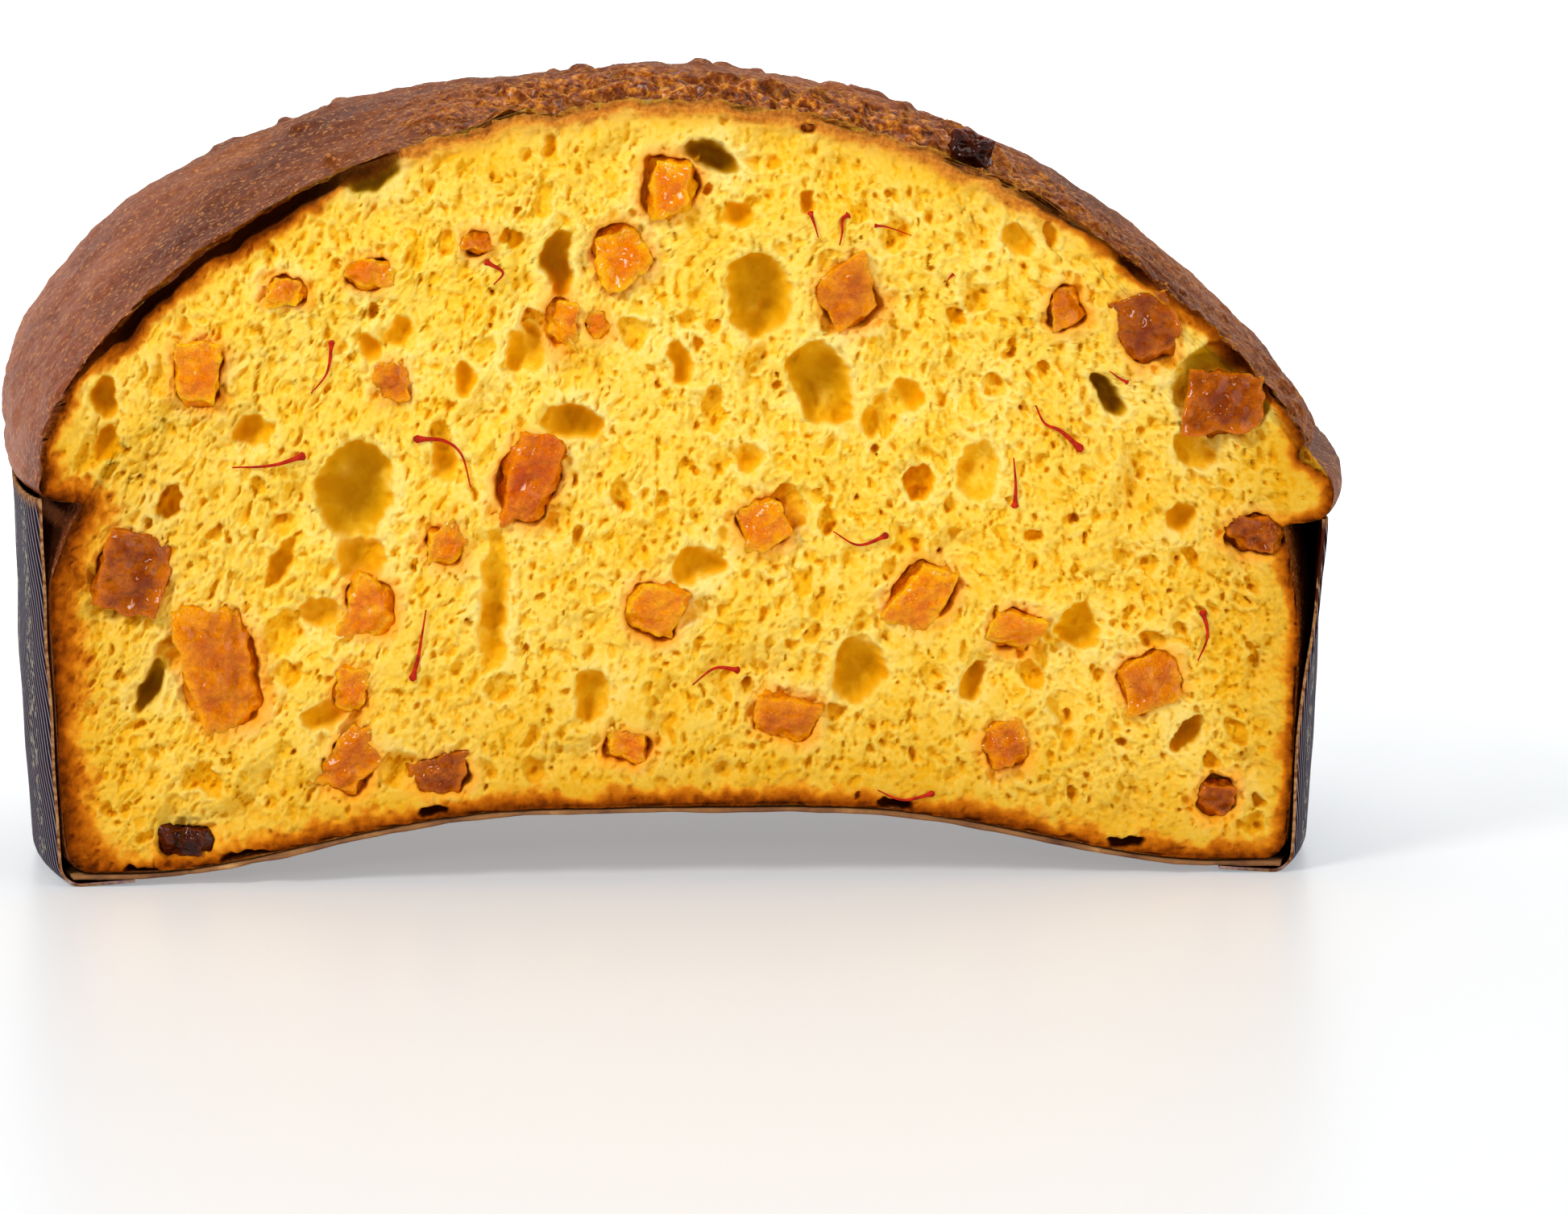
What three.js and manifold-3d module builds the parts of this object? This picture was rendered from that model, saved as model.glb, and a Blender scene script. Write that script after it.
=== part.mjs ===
// A low panettone in its paper mould, with the front third sliced away. The big flat face is the
// open crumb, with candied fruit and saffron in it. Millimetres, +Z up, the cut face looks along -Y.
// The origin is on the table, in the middle of the piece's own box.
import * as THREE from "three";
import { mergeVertices } from "three/addons/utils/BufferGeometryUtils.js";
import Module from "manifold-3d";

// ---- Driving dimensions ----
const mould = { baseRadius: 103, flare: 2.6, height: 67, paper: 0.8, corner: 3, flange: 9 };
const knife = { fromAxis: 35 }; // how far in front of the loaf's axis the slice was taken off
const loaf = { top: 126, footRadius: 1.4, pole: 2 }; // the pole is a small flat at the very top
const hollow = { depth: 9.5, inner: 38, outer: 92 }; // the base is drawn up inside these radii
const lip = { roll: 0.42, crease: 0.8, undercut: 2 }; // shares of the rise from the rim to the dome
const gap = 0.3; // between pieces that lie against each other
const steps = { around: 60, dome: 9 };
const cutAngle = THREE.MathUtils.radToDeg(Math.asin(knife.fromAxis / mould.baseRadius));

// ---- How the loaf changes round its axis: 0 is +X, 90 the back, 180 is -X, -90 and 270 the front ----
const stations = [-90, -cutAngle, 25, 90, 155, 180 + cutAngle, 270];
const shape = {
  rim: [56.3, 56.3, 65.5, mould.height, 66, 61.2, 61.2], // height of the paper's edge
  leaves: [40, 40, 58, 62, 58, 48, 48], // height at which the loaf parts from the paper
  neck: [102, 102.2, 102.8, 103.4, 102.4, 98.8, 98.8], // radius under the overhanging crust
  roll: [106, 108.2, 106.8, 107.6, 109.4, 104.2, 106], // radius of the overhang's lower roll
  crease: [102, 102.2, 105.4, 107.8, 110, 104.4, 102], // radius of the crease above that roll
  start: [67.5, 68.3, 70, 73, 74, 66.5, 67.5], // height at which the dome starts
  dome: [104, 103.9, 105.2, 108, 110.6, 104.3, 104], // radius of the dome there
  fullness: [1.75, 1.2, 1.24, 1.62, 2.08, 1.6, 1.75], // above 1 the dome is rounder at its shoulder
};

// The value of one row of the table above at an angle in degrees, eased between its stations.
function around(name, degrees) {
  const row = shape[name];
  const k = Math.max(1, stations.findIndex((s) => s >= degrees)) - 1;
  const t = THREE.MathUtils.smoothstep(degrees, stations[k], stations[k + 1]);
  return THREE.MathUtils.lerp(row[k], row[k + 1], t);
}

// ---- Candied fruit ----
// Each has its place on the cut face, width, height, depth, turn in degrees and how far it stands out.
const fruits = [
  { x: -0.9, z: 109.0, w: 8.2, h: 9.2, d: 8, turn: 5, out: 1.2 },
  { x: -8.6, z: 98.4, w: 7.6, h: 8.2, d: 7, turn: -14, out: 0.6 },
  { x: 26.8, z: 91.6, w: 8.2, h: 8.2, d: 8, turn: -34, out: 0.8 },
  { x: -74.6, z: 80.7, w: 7.8, h: 8.6, d: 7, turn: 4, out: 0.8 },
  { x: -48.2, z: 95.8, w: 6.4, h: 4, d: 5, turn: 12, out: 0.5 },
  { x: -60.2, z: 93.2, w: 6, h: 3.6, d: 5, turn: 8, out: 0.4 },
  { x: -44.6, z: 78.9, w: 4.2, h: 5.6, d: 5, turn: 10, out: 0.5 },
  { x: -18.4, z: 88.0, w: 3.8, h: 7.6, d: 6, turn: 0, out: 0.3 },
  { x: -12.6, z: 87.6, w: 3.2, h: 4.2, d: 4, turn: -8, out: 0.4 },
  { x: -23.6, z: 63.0, w: 8.4, h: 11.6, d: 8, turn: 16, out: 0.8 },
  { x: -84.8, z: 49.4, w: 8.6, h: 10.4, d: 8, turn: 24, out: 0.9 },
  { x: -70.7, z: 33.3, w: 10.4, h: 17, d: 8, turn: -8, out: 0.8 },
  { x: -36.5, z: 53.0, w: 5.4, h: 6.4, d: 5, turn: -12, out: 0.5 },
  { x: -48.1, z: 43.6, w: 7.6, h: 8.6, d: 7, turn: 10, out: 0.3 },
  { x: -51.1, z: 18.8, w: 7, h: 8, d: 6, turn: 30, out: 0.3 },
  { x: -37.6, z: 17.1, w: 8.4, h: 5.2, d: 6, turn: -6, out: 0.3 },
  { x: -51.0, z: 30.2, w: 5.6, h: 5.8, d: 5, turn: 6, out: 0.4 },
  { x: 73.1, z: 86.0, w: 7.8, h: 9.6, d: 7, turn: -16, out: 0.6 },
  { x: 85.3, z: 74.8, w: 8.8, h: 8.8, d: 7, turn: 8, out: 0.5 },
  { x: 60.5, z: 89.9, w: 5.2, h: 6, d: 5, turn: -20, out: 0.3 },
  { x: 90.0, z: 53.8, w: 9, h: 6.8, d: 6, turn: 12, out: 0.4 },
  { x: -76.5, z: 6.6, w: 8.4, h: 4, d: 6, turn: 2, out: 0.6 },
  { x: -30.8, z: 100.4, w: 4.2, h: 3, d: 4, turn: 10, out: 0.3 },
  { x: -4.0, z: 42.5, w: 8.2, h: 7.2, d: 7, turn: 22, out: 0.6 },
  { x: 13.0, z: 56.0, w: 6.8, h: 8, d: 6, turn: -15, out: 0.7 },
  { x: 17.0, z: 25.5, w: 9, h: 6.4, d: 7, turn: 10, out: 0.5 },
  { x: 38.0, z: 45.0, w: 8, h: 9, d: 7, turn: 38, out: 0.8 },
  { x: 51.0, z: 20.0, w: 7, h: 7.4, d: 6, turn: -10, out: 0.4 },
  { x: 53.0, z: 39.0, w: 6, h: 7, d: 6, turn: 18, out: 0.6 },
  { x: 74.0, z: 31.0, w: 9, h: 7, d: 7, turn: -24, out: 0.6 },
  { x: -8.0, z: 21.0, w: 6.6, h: 5, d: 5, turn: 5, out: 0.4 },
  { x: 84.5, z: 12.0, w: 5.4, h: 6, d: 5, turn: 12, out: 0.4 },
  { x: 45.3, z: 114.4, w: 6.4, h: 4.6, d: 5, turn: 28, out: -1.5 }, // burnt, on the crust
];

// ---- The largest gas cells that open on the cut face, each with its place, size and lean in degrees ----
const cells = [
  { x: -50.4, z: 60.8, w: 11, h: 16, d: 20, lean: 4 },
  { x: 12.2, z: 92.0, w: 9.6, h: 14, d: 18, lean: -4 },
  { x: 22.2, z: 78.0, w: 9.4, h: 13.4, d: 16, lean: -18 },
  { x: -18.2, z: 96.6, w: 4.4, h: 9.4, d: 16, lean: 0 },
  { x: -29.0, z: 44.0, w: 5, h: 9, d: 8, lean: 2 },
  { x: -16.4, z: 72.6, w: 9.6, h: 6.4, d: 12, lean: 8 },
  { x: 5.4, z: 114.6, w: 8, h: 3.4, d: 10, lean: -16 },
  { x: 46.8, z: 64.6, w: 7, h: 10, d: 8, lean: 6 },
  { x: -88.2, z: 74.2, w: 4.4, h: 10, d: 8, lean: 4 },
  { x: 28.0, z: 33.0, w: 8, h: 11, d: 12, lean: 14 },
  { x: 63.0, z: 39.5, w: 7, h: 8, d: 12, lean: -10 },
];

// ---- Saffron threads lying on the cut face: the points along each, and its radius ----
const threads = [
  { points: [[-28.6, 94.0], [-27.2, 95.9], [-29.9, 97.6]], radius: 0.45 },
  { points: [[21.6, 101.0], [21.0, 103.1], [20.3, 105.0]], radius: 0.42 },
  { points: [[24.9, 99.8], [25.3, 101.8], [25.4, 103.8], [26.4, 104.6]], radius: 0.5 },
  { points: [[36.1, 101.2], [32.5, 102.5], [30.3, 102.8]], radius: 0.3 },
  { points: [[41.6, 93.8], [42.0, 94.6], [42.7, 95.2]], radius: 0.28 },
  { points: [[-56.9, 77.3], [-54.4, 80.6], [-53.6, 85.5]], radius: 0.42 },
  { points: [[-69.2, 65.8], [-63.0, 66.2], [-57.9, 67.7]], radius: 0.55 },
  { points: [[-32.4, 62.4], [-33.8, 67.6], [-36.6, 69.8], [-41.2, 70.1]], radius: 0.5 },
  { points: [[-39.5, 43.3], [-40.1, 39.8], [-40.8, 35.8], [-41.8, 32.1]], radius: 0.5 },
  { points: [[55.6, 74.6], [57.0, 71.8], [59.6, 70.5], [63.0, 67.4]], radius: 0.55 },
  { points: [[52.2, 66.4], [52.5, 62.3], [52.4, 58.5]], radius: 0.5 },
  { points: [[67.1, 79.9], [68.6, 78.8], [70.1, 78.0]], radius: 0.35 },
  { points: [[2.0, 31.0], [5.5, 33.6], [9.4, 33.2]], radius: 0.5 },
  { points: [[24.0, 55.0], [28.0, 52.9], [32.6, 54.5]], radius: 0.45 },
  { points: [[81.5, 34.0], [82.9, 38.0], [82.1, 42.0]], radius: 0.5 },
  { points: [[31.0, 14.0], [35.0, 12.4], [40.0, 13.4]], radius: 0.42 },
];

const colours = {
  crumb: 0xf2c23c,
  paper: 0x3a2b3d,
  kraft: 0x9a6230,
  fruit: 0xd9730f,
  saffron: 0xb01808,
};

const wasm = await Module();
wasm.setup();

// ---- Small tools: solids in, solids out ----
function toManifold(geometry) {
  const bare = geometry.clone();
  bare.deleteAttribute("normal");
  bare.deleteAttribute("uv");
  const merged = mergeVertices(bare, 1e-4);
  return new wasm.Manifold(
    new wasm.Mesh({
      numProp: 3,
      vertProperties: merged.attributes.position.array,
      triVerts: new Uint32Array(merged.index.array),
    }),
  );
}

function toGeometry(solid) {
  const mesh = solid.getMesh();
  const geometry = new THREE.BufferGeometry();
  geometry.setAttribute("position", new THREE.BufferAttribute(mesh.vertProperties, 3));
  geometry.setIndex(new THREE.BufferAttribute(mesh.triVerts, 1));
  geometry.computeVertexNormals();
  return geometry;
}

// A closed skin through loops of points, one after another, with a flat end on the first and the last.
function loft(loops, flatten) {
  const n = loops[0].length;
  const index = [];
  for (let k = 0; k + 1 < loops.length; k++) {
    for (let i = 0; i < n; i++) {
      const a = k * n + i;
      const b = k * n + ((i + 1) % n);
      index.push(a, b, b + n, a, b + n, a + n);
    }
  }
  const end = (loops.length - 1) * n;
  for (const [a, b, c] of THREE.ShapeUtils.triangulateShape(loops[0].map(flatten), [])) {
    index.push(a, c, b);
  }
  for (const [a, b, c] of THREE.ShapeUtils.triangulateShape(loops.at(-1).map(flatten), [])) {
    index.push(end + a, end + b, end + c);
  }
  const geometry = new THREE.BufferGeometry().setFromPoints(loops.flat());
  geometry.setIndex(index);
  return geometry;
}

// A point from radius, angle in degrees and height. The cut plane is y = 0 and the axis is behind it.
function polar(radius, degrees, z) {
  const a = THREE.MathUtils.degToRad(degrees);
  return new THREE.Vector3(radius * Math.cos(a), knife.fromAxis + radius * Math.sin(a), z);
}

const circle = Array.from({ length: steps.around }, (_, i) => -90 + (360 * i) / steps.around);

// A body of revolution whose profile may differ at each angle. profile(degrees) goes from the bottom up.
function turned(profile) {
  const profiles = circle.map(profile);
  const rings = profiles[0].map((_, k) => {
    return circle.map((degrees, i) => polar(profiles[i][k][0], degrees, profiles[i][k][1]));
  });
  return toManifold(loft(rings, (p) => new THREE.Vector2(p.x, p.y)));
}

// Everything in front of the cut plane is taken off.
const reach = 4 * mould.baseRadius;
const behindKnife = toManifold(new THREE.BoxGeometry(reach, reach, reach).translate(0, reach / 2, 0));
const slice = (solid) => solid.intersect(behindKnife);

// ---- The paper mould ----
const paperOuter = (z) => mould.baseRadius + mould.flare * Math.pow(Math.max(z, 0) / mould.height, 0.8);
const paperInner = (z) => paperOuter(z) - mould.paper;
const wallHeights = [0.3, 0.6, 0.85, 1]; // shares of the wall's height above its rounded corner

// How far the base is drawn up at a radius: a smooth hump, flat at the rim.
function hump(radius) {
  return hollow.depth * (1 - THREE.MathUtils.smoothstep(radius, hollow.inner, hollow.outer));
}

// The wall with its rounded corner and the flange turned in under the base disc. The loop goes down the
// outside and back up the inside.
function mouldWall() {
  const section = (degrees) => {
    const rim = around("rim", degrees);
    const t = mould.paper;
    const c = mould.corner;
    const corner = [80, 45, 15].map((d) => THREE.MathUtils.degToRad(d));
    const centre = paperOuter(c) - c;
    const heights = wallHeights.map((s) => c + (rim - c) * s);
    const inner = [
      [centre - mould.flange, t],
      [centre, t],
      ...corner.map((a) => [centre + (c - t) * Math.cos(a), c - (c - t) * Math.sin(a)]),
      ...heights.map((z) => [paperInner(z), z]),
    ];
    const outer = [
      ...heights.map((z) => [paperOuter(z), z]).reverse(),
      ...corner.map((a) => [centre + c * Math.cos(a), c - c * Math.sin(a)]).reverse(),
      [centre, 0],
      [centre - mould.flange, 0],
    ];
    return [...inner, ...outer];
  };
  const angles = circle.filter((a) => a > -cutAngle - 8 && a < 180 + cutAngle + 8);
  const loops = angles.map((a) => section(a).map(([r, z]) => polar(r, a, z)));
  const flat = (p) => new THREE.Vector2(p.z, Math.hypot(p.x, p.y - knife.fromAxis));
  return slice(toManifold(loft(loops, flat)));
}

// The disc glued in over the flange, drawn up in the middle with the loaf.
const discLow = mould.paper + gap;
const discRadius = mould.baseRadius - mould.paper - 4 * gap;
const discRadii = [8, 24, 38, 48, 58, 68, 78, 88, discRadius];
function mouldBase() {
  const under = discRadii.map((r) => [r, discLow + hump(r)]);
  const over = discRadii.map((r) => [r, discLow + hump(r) + mould.paper]).reverse();
  return slice(turned(() => [...under, ...over]));
}

// ---- The loaf: one baked solid ----
// From the base up: the foot, the side against the paper, the neck where it leaves the paper, the lip
// that hangs over it, and the dome.
function loafBody() {
  const floor = discLow + mould.paper + gap;
  const side = (z) => paperInner(z) - gap;
  const foot = loaf.footRadius;
  const profile = (degrees) => {
    const rim = around("rim", degrees);
    const leaves = around("leaves", degrees);
    const neck = around("neck", degrees);
    const roll = around("roll", degrees);
    const start = around("start", degrees);
    const dome = around("dome", degrees);
    const points = [
      ...discRadii.map((r) => [Math.min(r, discRadius - foot), floor + hump(r)]),
      [side(floor) - foot / 3, floor + foot],
      [side(20), 20],
      [side(leaves), leaves],
      [(side(leaves) + neck) / 2, (leaves + rim) / 2],
      [neck, rim - lip.undercut],
      [neck + 1, rim + gap],
      [roll - 1.4, rim + 4 * gap],
      [roll, THREE.MathUtils.lerp(rim, start, lip.roll)],
      [around("crease", degrees), THREE.MathUtils.lerp(rim, start, lip.crease)],
    ];
    for (let k = 0; k < steps.dome; k++) {
      const rise = 1 - (1 - k / steps.dome) ** 2;
      const r = dome * Math.sqrt(1 - rise ** around("fullness", degrees));
      points.push([r, start + (loaf.top - start) * rise]);
    }
    return [...points, [loaf.pole, loaf.top]];
  };
  return slice(turned(profile));
}

// ---- Shaping a piece of fruit ----
// A rounded cube: a box whose points are drawn in towards a ball, and its sides bent a little.
const candy = { ball: 0.62, rounded: 0.35, bend: 0.05 };
function candied({ x, z, w, h, d, turn, out }, grow = 0) {
  const cube = new THREE.BoxGeometry(1, 1, 1, 2, 2, 2);
  const at = cube.attributes.position;
  const p = new THREE.Vector3();
  for (let i = 0; i < at.count; i++) {
    p.fromBufferAttribute(at, i);
    p.lerp(p.clone().setLength(candy.ball), candy.rounded);
    p.x += candy.bend * Math.sin(3 * p.z + x);
    p.z += candy.bend * Math.sin(4 * p.x + z);
    at.setXYZ(i, p.x, p.y, p.z);
  }
  cube.scale(w + 2 * grow, d + 2 * grow, h + 2 * grow);
  cube.rotateY(THREE.MathUtils.degToRad(-turn));
  cube.translate(x, d / 2 - out, z);
  return toManifold(cube);
}

// ---- Shaping a gas cell ----
function gasCell({ x, z, w, h, d, lean }) {
  const ball = new THREE.IcosahedronGeometry(0.5, 1);
  ball.scale(w, d, h);
  ball.rotateY(THREE.MathUtils.degToRad(-lean));
  ball.translate(x, 0, z);
  return toManifold(ball);
}

// ---- Shaping a thread ----
function saffron({ points, radius }) {
  const lift = radius + gap; // it lies on the cut face
  const path = new THREE.CatmullRomCurve3(points.map(([x, z]) => new THREE.Vector3(x, -lift, z)));
  const ring = new THREE.Shape();
  ring.absarc(0, 0, radius, 0, 2 * Math.PI);
  return new THREE.ExtrudeGeometry(ring, { steps: 7, curveSegments: 3, extrudePath: path });
}

// ---- Assembly ----
const panettone = new THREE.Group();

function add(name, geometry, colour, roughness) {
  const material = new THREE.MeshStandardMaterial({ color: colour, roughness, metalness: 0 });
  const mesh = new THREE.Mesh(geometry, material);
  mesh.name = name;
  panettone.add(mesh);
}

const number = (i) => String(i + 1).padStart(2, "0");

let baked = loafBody();
for (const cell of cells) baked = baked.subtract(gasCell(cell));
for (const fruit of fruits) baked = baked.subtract(candied(fruit, gap));

add("loaf", toGeometry(baked), colours.crumb, 0.85);
add("mould_wall", toGeometry(mouldWall()), colours.paper, 0.5);
add("mould_base", toGeometry(mouldBase()), colours.kraft, 0.8);
fruits.forEach((fruit, i) => {
  add("candied_fruit_" + number(i), toGeometry(candied(fruit)), colours.fruit, 0.25);
});
threads.forEach((thread, i) => {
  add("saffron_thread_" + number(i), saffron(thread), colours.saffron, 0.6);
});

// The origin goes to the middle of the box, at table height.
const box = new THREE.Box3().setFromObject(panettone);
const middle = box.getCenter(new THREE.Vector3());
panettone.position.set(-middle.x, -middle.y, -box.min.z);

export default panettone;
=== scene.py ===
import itertools
import math

import bpy
import numpy as np
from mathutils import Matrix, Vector


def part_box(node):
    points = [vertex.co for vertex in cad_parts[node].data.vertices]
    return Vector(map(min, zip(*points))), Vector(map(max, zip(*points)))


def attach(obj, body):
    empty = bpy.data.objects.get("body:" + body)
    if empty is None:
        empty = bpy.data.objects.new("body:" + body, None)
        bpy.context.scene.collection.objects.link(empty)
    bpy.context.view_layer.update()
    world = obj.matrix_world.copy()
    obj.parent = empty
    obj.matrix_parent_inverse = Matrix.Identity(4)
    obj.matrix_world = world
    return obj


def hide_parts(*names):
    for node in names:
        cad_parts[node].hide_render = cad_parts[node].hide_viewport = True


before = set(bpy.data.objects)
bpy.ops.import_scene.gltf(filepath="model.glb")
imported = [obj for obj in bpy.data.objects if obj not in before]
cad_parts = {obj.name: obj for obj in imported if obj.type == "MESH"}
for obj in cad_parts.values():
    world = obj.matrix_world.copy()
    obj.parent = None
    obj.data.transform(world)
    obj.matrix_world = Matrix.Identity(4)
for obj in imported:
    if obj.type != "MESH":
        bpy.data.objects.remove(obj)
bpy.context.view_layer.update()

rng = np.random.default_rng(11)

# Where things are, from the frame

baseLow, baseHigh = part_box("mould_base")
loafLow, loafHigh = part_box("loaf")
discRadius = (baseHigh.x - baseLow.x) * 500
axisX = (baseHigh.x + baseLow.x) * 500
cutY = loafLow.y * 1000
knife = baseHigh.y * 1000 - discRadius - cutY  # from the axis to the cut
loafTop = loafHigh.z * 1000


def fromCut(points):
    return (np.asarray(points, float) + (axisX, cutY, 0)) / 1000


def toCut(point):
    return np.array(point) * 1000 - (axisX, cutY, 0)


def ease(x, low, high):
    t = np.clip((x - low) / (high - low), 0, 1)
    return t * t * (3 - 2 * t)


def band(x, low, full, fading, high):
    # 1 between "full" and "fading", and 0 beyond "low" and "high"
    return ease(x, low, full) * (1 - ease(x, fading, high))


# Noise

latticeOrder = rng.permutation(256)
latticeSlopes = rng.normal(size=(256, 3))
latticeSlopes /= np.linalg.norm(latticeSlopes, axis=1)[:, None]


def noise(points, size, shift=0.0):
    # soft lumps about "size" wide, from about -1 to 1
    p = np.asarray(points, float) / size + shift
    cell = np.floor(p).astype(int)
    part = p - cell
    smooth = part ** 3 * (part * (part * 6 - 15) + 10)
    total = np.zeros(p.shape[:-1])
    for corner in itertools.product((0, 1), repeat=3):
        c = cell + corner
        slot = latticeOrder[c[..., 0] & 255] + c[..., 1]
        slot = latticeOrder[slot & 255] + c[..., 2]
        slot = latticeOrder[slot & 255]
        weight = np.prod(np.where(corner, smooth, 1 - smooth), axis=-1)
        total += weight * np.sum(latticeSlopes[slot] * (part - corner), axis=-1)
    return total * 1.7


def clouds(points, *layers):
    # several sizes of noise added up, each layer an amount, a size and a shift
    return sum(amount * noise(points, size, shift) for amount, size, shift in layers)


def flat(x, z, deep=0.0):
    return np.stack([x, np.full_like(x, deep), z], axis=-1)


# The loaf's shape round its axis: 0 is right, 90 the back, 180 left, -90 and 270 the front

wallRadius = 103  # of the paper at its foot
cutAngle = math.degrees(math.asin(knife / wallRadius))
stations = [-90, -cutAngle, 25, 90, 155, 180 + cutAngle, 270]
loafShape = {
    "rim": [56.3, 56.3, 65.5, 67, 66, 61.2, 61.2],  # height of the paper's edge
    "leaves": [40, 40, 58, 62, 58, 48, 48],  # height at which the loaf parts from the paper
    "neck": [101.2, 101.2, 102.8, 103.4, 102.4, 98.8, 98.8],  # radius under the overhanging crust
    "roll": [107.4, 108.2, 106.8, 107.6, 109.4, 104.6, 104.6],  # the overhang's lower roll
    "crease": [102, 102.2, 105.4, 107.8, 110, 104.4, 102],  # the crease above that roll
    "start": [67.5, 68.3, 70, 73, 74, 66.5, 67.5],  # height at which the dome starts
    "dome": [104, 103.9, 105.2, 108, 110.6, 104.3, 104],  # radius of the dome there
    "fullness": [1.75, 1.2, 1.24, 1.62, 2.08, 1.6, 1.75],  # rounder shoulders above 1
    "floor": 2.2, "wall": wallRadius, "flare": 2.6, "paper": 0.8, "paperHeight": 67,
    "hollow": 9.5, "hollowInner": 38, "hollowOuter": 92,
}


def around(name, degrees):
    degrees = np.asarray(degrees, float)
    row = loafShape[name]
    value = np.full(degrees.shape, float(row[0]))
    for k in range(len(stations) - 1):
        t = ease(degrees, stations[k], stations[k + 1])
        value = np.where(degrees > stations[k], row[k] + (row[k + 1] - row[k]) * t, value)
    return value


def paperRadius(z):
    s = loafShape
    return s["wall"] + s["flare"] * (np.maximum(z, 0) / s["paperHeight"]) ** 0.8


def hump(x, y):
    # how far the underside is hollowed up
    s = loafShape
    return s["hollow"] * (1 - ease(np.hypot(x, y - knife), s["hollowInner"], s["hollowOuter"]))


def floorHeight(x, y):
    return loafShape["floor"] + hump(x, y)


def splineWeights(count, samples):
    # rows of a clamped cubic B-spline's weights, one row for each sample from 0 to 1
    knots = np.concatenate([np.zeros(3), np.linspace(0, 1, count - 2), np.ones(3)])
    t = np.clip(np.asarray(samples), 0, 1 - 1e-9)
    basis = ((t[:, None] >= knots[:-1]) & (t[:, None] < knots[1:])).astype(float)
    for degree in (1, 2, 3):
        left = knots[degree:-1] - knots[:-degree - 1]
        right = knots[degree + 1:] - knots[1:-degree]
        a, b = np.zeros((len(t), len(left))), np.zeros((len(t), len(right)))
        np.divide(t[:, None] - knots[:-degree - 1], left, out=a, where=left > 0)
        np.divide(knots[degree + 1:] - t[:, None], right, out=b, where=right > 0)
        basis = a * basis[:, :-1] + b * basis[:, 1:]
    return basis


def sideProfile(degrees, samples):
    # radius and height up the loaf's side, from the foot to where the dome starts
    degrees = np.asarray(degrees, float)
    names = ("rim", "leaves", "neck", "roll", "crease", "start", "dome")
    at = {name: around(name, degrees) for name in names}
    inside = loafShape["paper"] + 0.3
    floor = loafShape["floor"] + degrees * 0

    def side(z):
        return paperRadius(z) - inside

    rise = at["start"] - at["rim"]
    control = [
        (side(0) - 4, floor), (side(2) - 1.2, floor + 0.3), (side(4), floor + 2.4), (side(12), 12),
        (side(22), 22), (side(32), 32), (side(at["leaves"] - 4), at["leaves"] - 4),
        (side(at["leaves"]), at["leaves"]),
        ((side(at["leaves"]) + at["neck"]) / 2, (at["leaves"] + at["rim"]) / 2),
        (at["neck"], at["rim"] - 2.4), (at["neck"] - 0.3, at["rim"] - 0.8),
        (at["neck"] + 2, at["rim"] - 0.6),
        (at["roll"] - 0.6, at["rim"] - 0.3), (at["roll"] + 0.6, at["rim"] + 0.3 * rise),
        (at["roll"] - 0.2, at["rim"] + 0.6 * rise), (at["crease"] - 0.3, at["rim"] + 0.8 * rise),
        (at["dome"], at["start"] - 0.5), (at["dome"], at["start"]),
    ]
    weights = splineWeights(len(control), samples)
    radius = sum(weights[:, k, None] * control[k][0] for k in range(len(control)))
    height = sum(weights[:, k, None] * control[k][1] for k in range(len(control)))
    return radius, height


def sideRings(samples, steps):
    # points up the side (rows) and from the right end of the cut round the back to the left end (columns)
    share = np.linspace(-1, 1, 2 * steps + 1)
    right = np.full(len(samples), -cutAngle)
    left = np.full(len(samples), 180 + cutAngle)
    for _ in range(5):
        right = -np.degrees(np.arcsin(knife / np.diagonal(sideProfile(right, samples)[0])))
        left = 180 + np.degrees(np.arcsin(knife / np.diagonal(sideProfile(left, samples)[0])))
    near = (1 - np.abs(share)) ** 1.4  # closer together towards the cut
    degrees = np.where(share < 0, right[:, None] + (90 - right[:, None]) * near,
                       90 + (left[:, None] - 90) * (1 - near))
    radius = np.empty(degrees.shape)
    height = np.empty(degrees.shape)
    for k, t in enumerate(samples):
        radius[k], height[k] = (row[0] for row in sideProfile(degrees[k], [t]))
    a = np.radians(degrees)
    points = np.stack([radius * np.cos(a), knife + radius * np.sin(a), height], axis=-1)
    points[:, 0, 1] = points[:, -1, 1] = 0
    return points


def domeHeight(x, y):
    reach = np.hypot(x, y - knife)
    degrees = np.degrees(np.arctan2(y - knife, x))
    degrees = np.where(degrees < -90, degrees + 360, degrees)
    share = np.clip(1 - (reach / around("dome", degrees)) ** 2, 0, 1)
    start = around("start", degrees)
    return start + (loafTop - start) * share ** (1 / around("fullness", degrees))


def slices(ring, across):
    # straight lines across the loaf between the two ends of each slice, closer together at the ends
    steps = (len(ring) - 1) // 2
    right, left = ring[:steps + 1], ring[:steps - 1:-1]
    t = (1 - np.cos(np.pi * across)) / 2
    return right[:, None] * (1 - t)[None, :, None] + left[:, None] * t[None, :, None]


# The candied fruit: turn in degrees, tint, and how squarely it was cut

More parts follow.
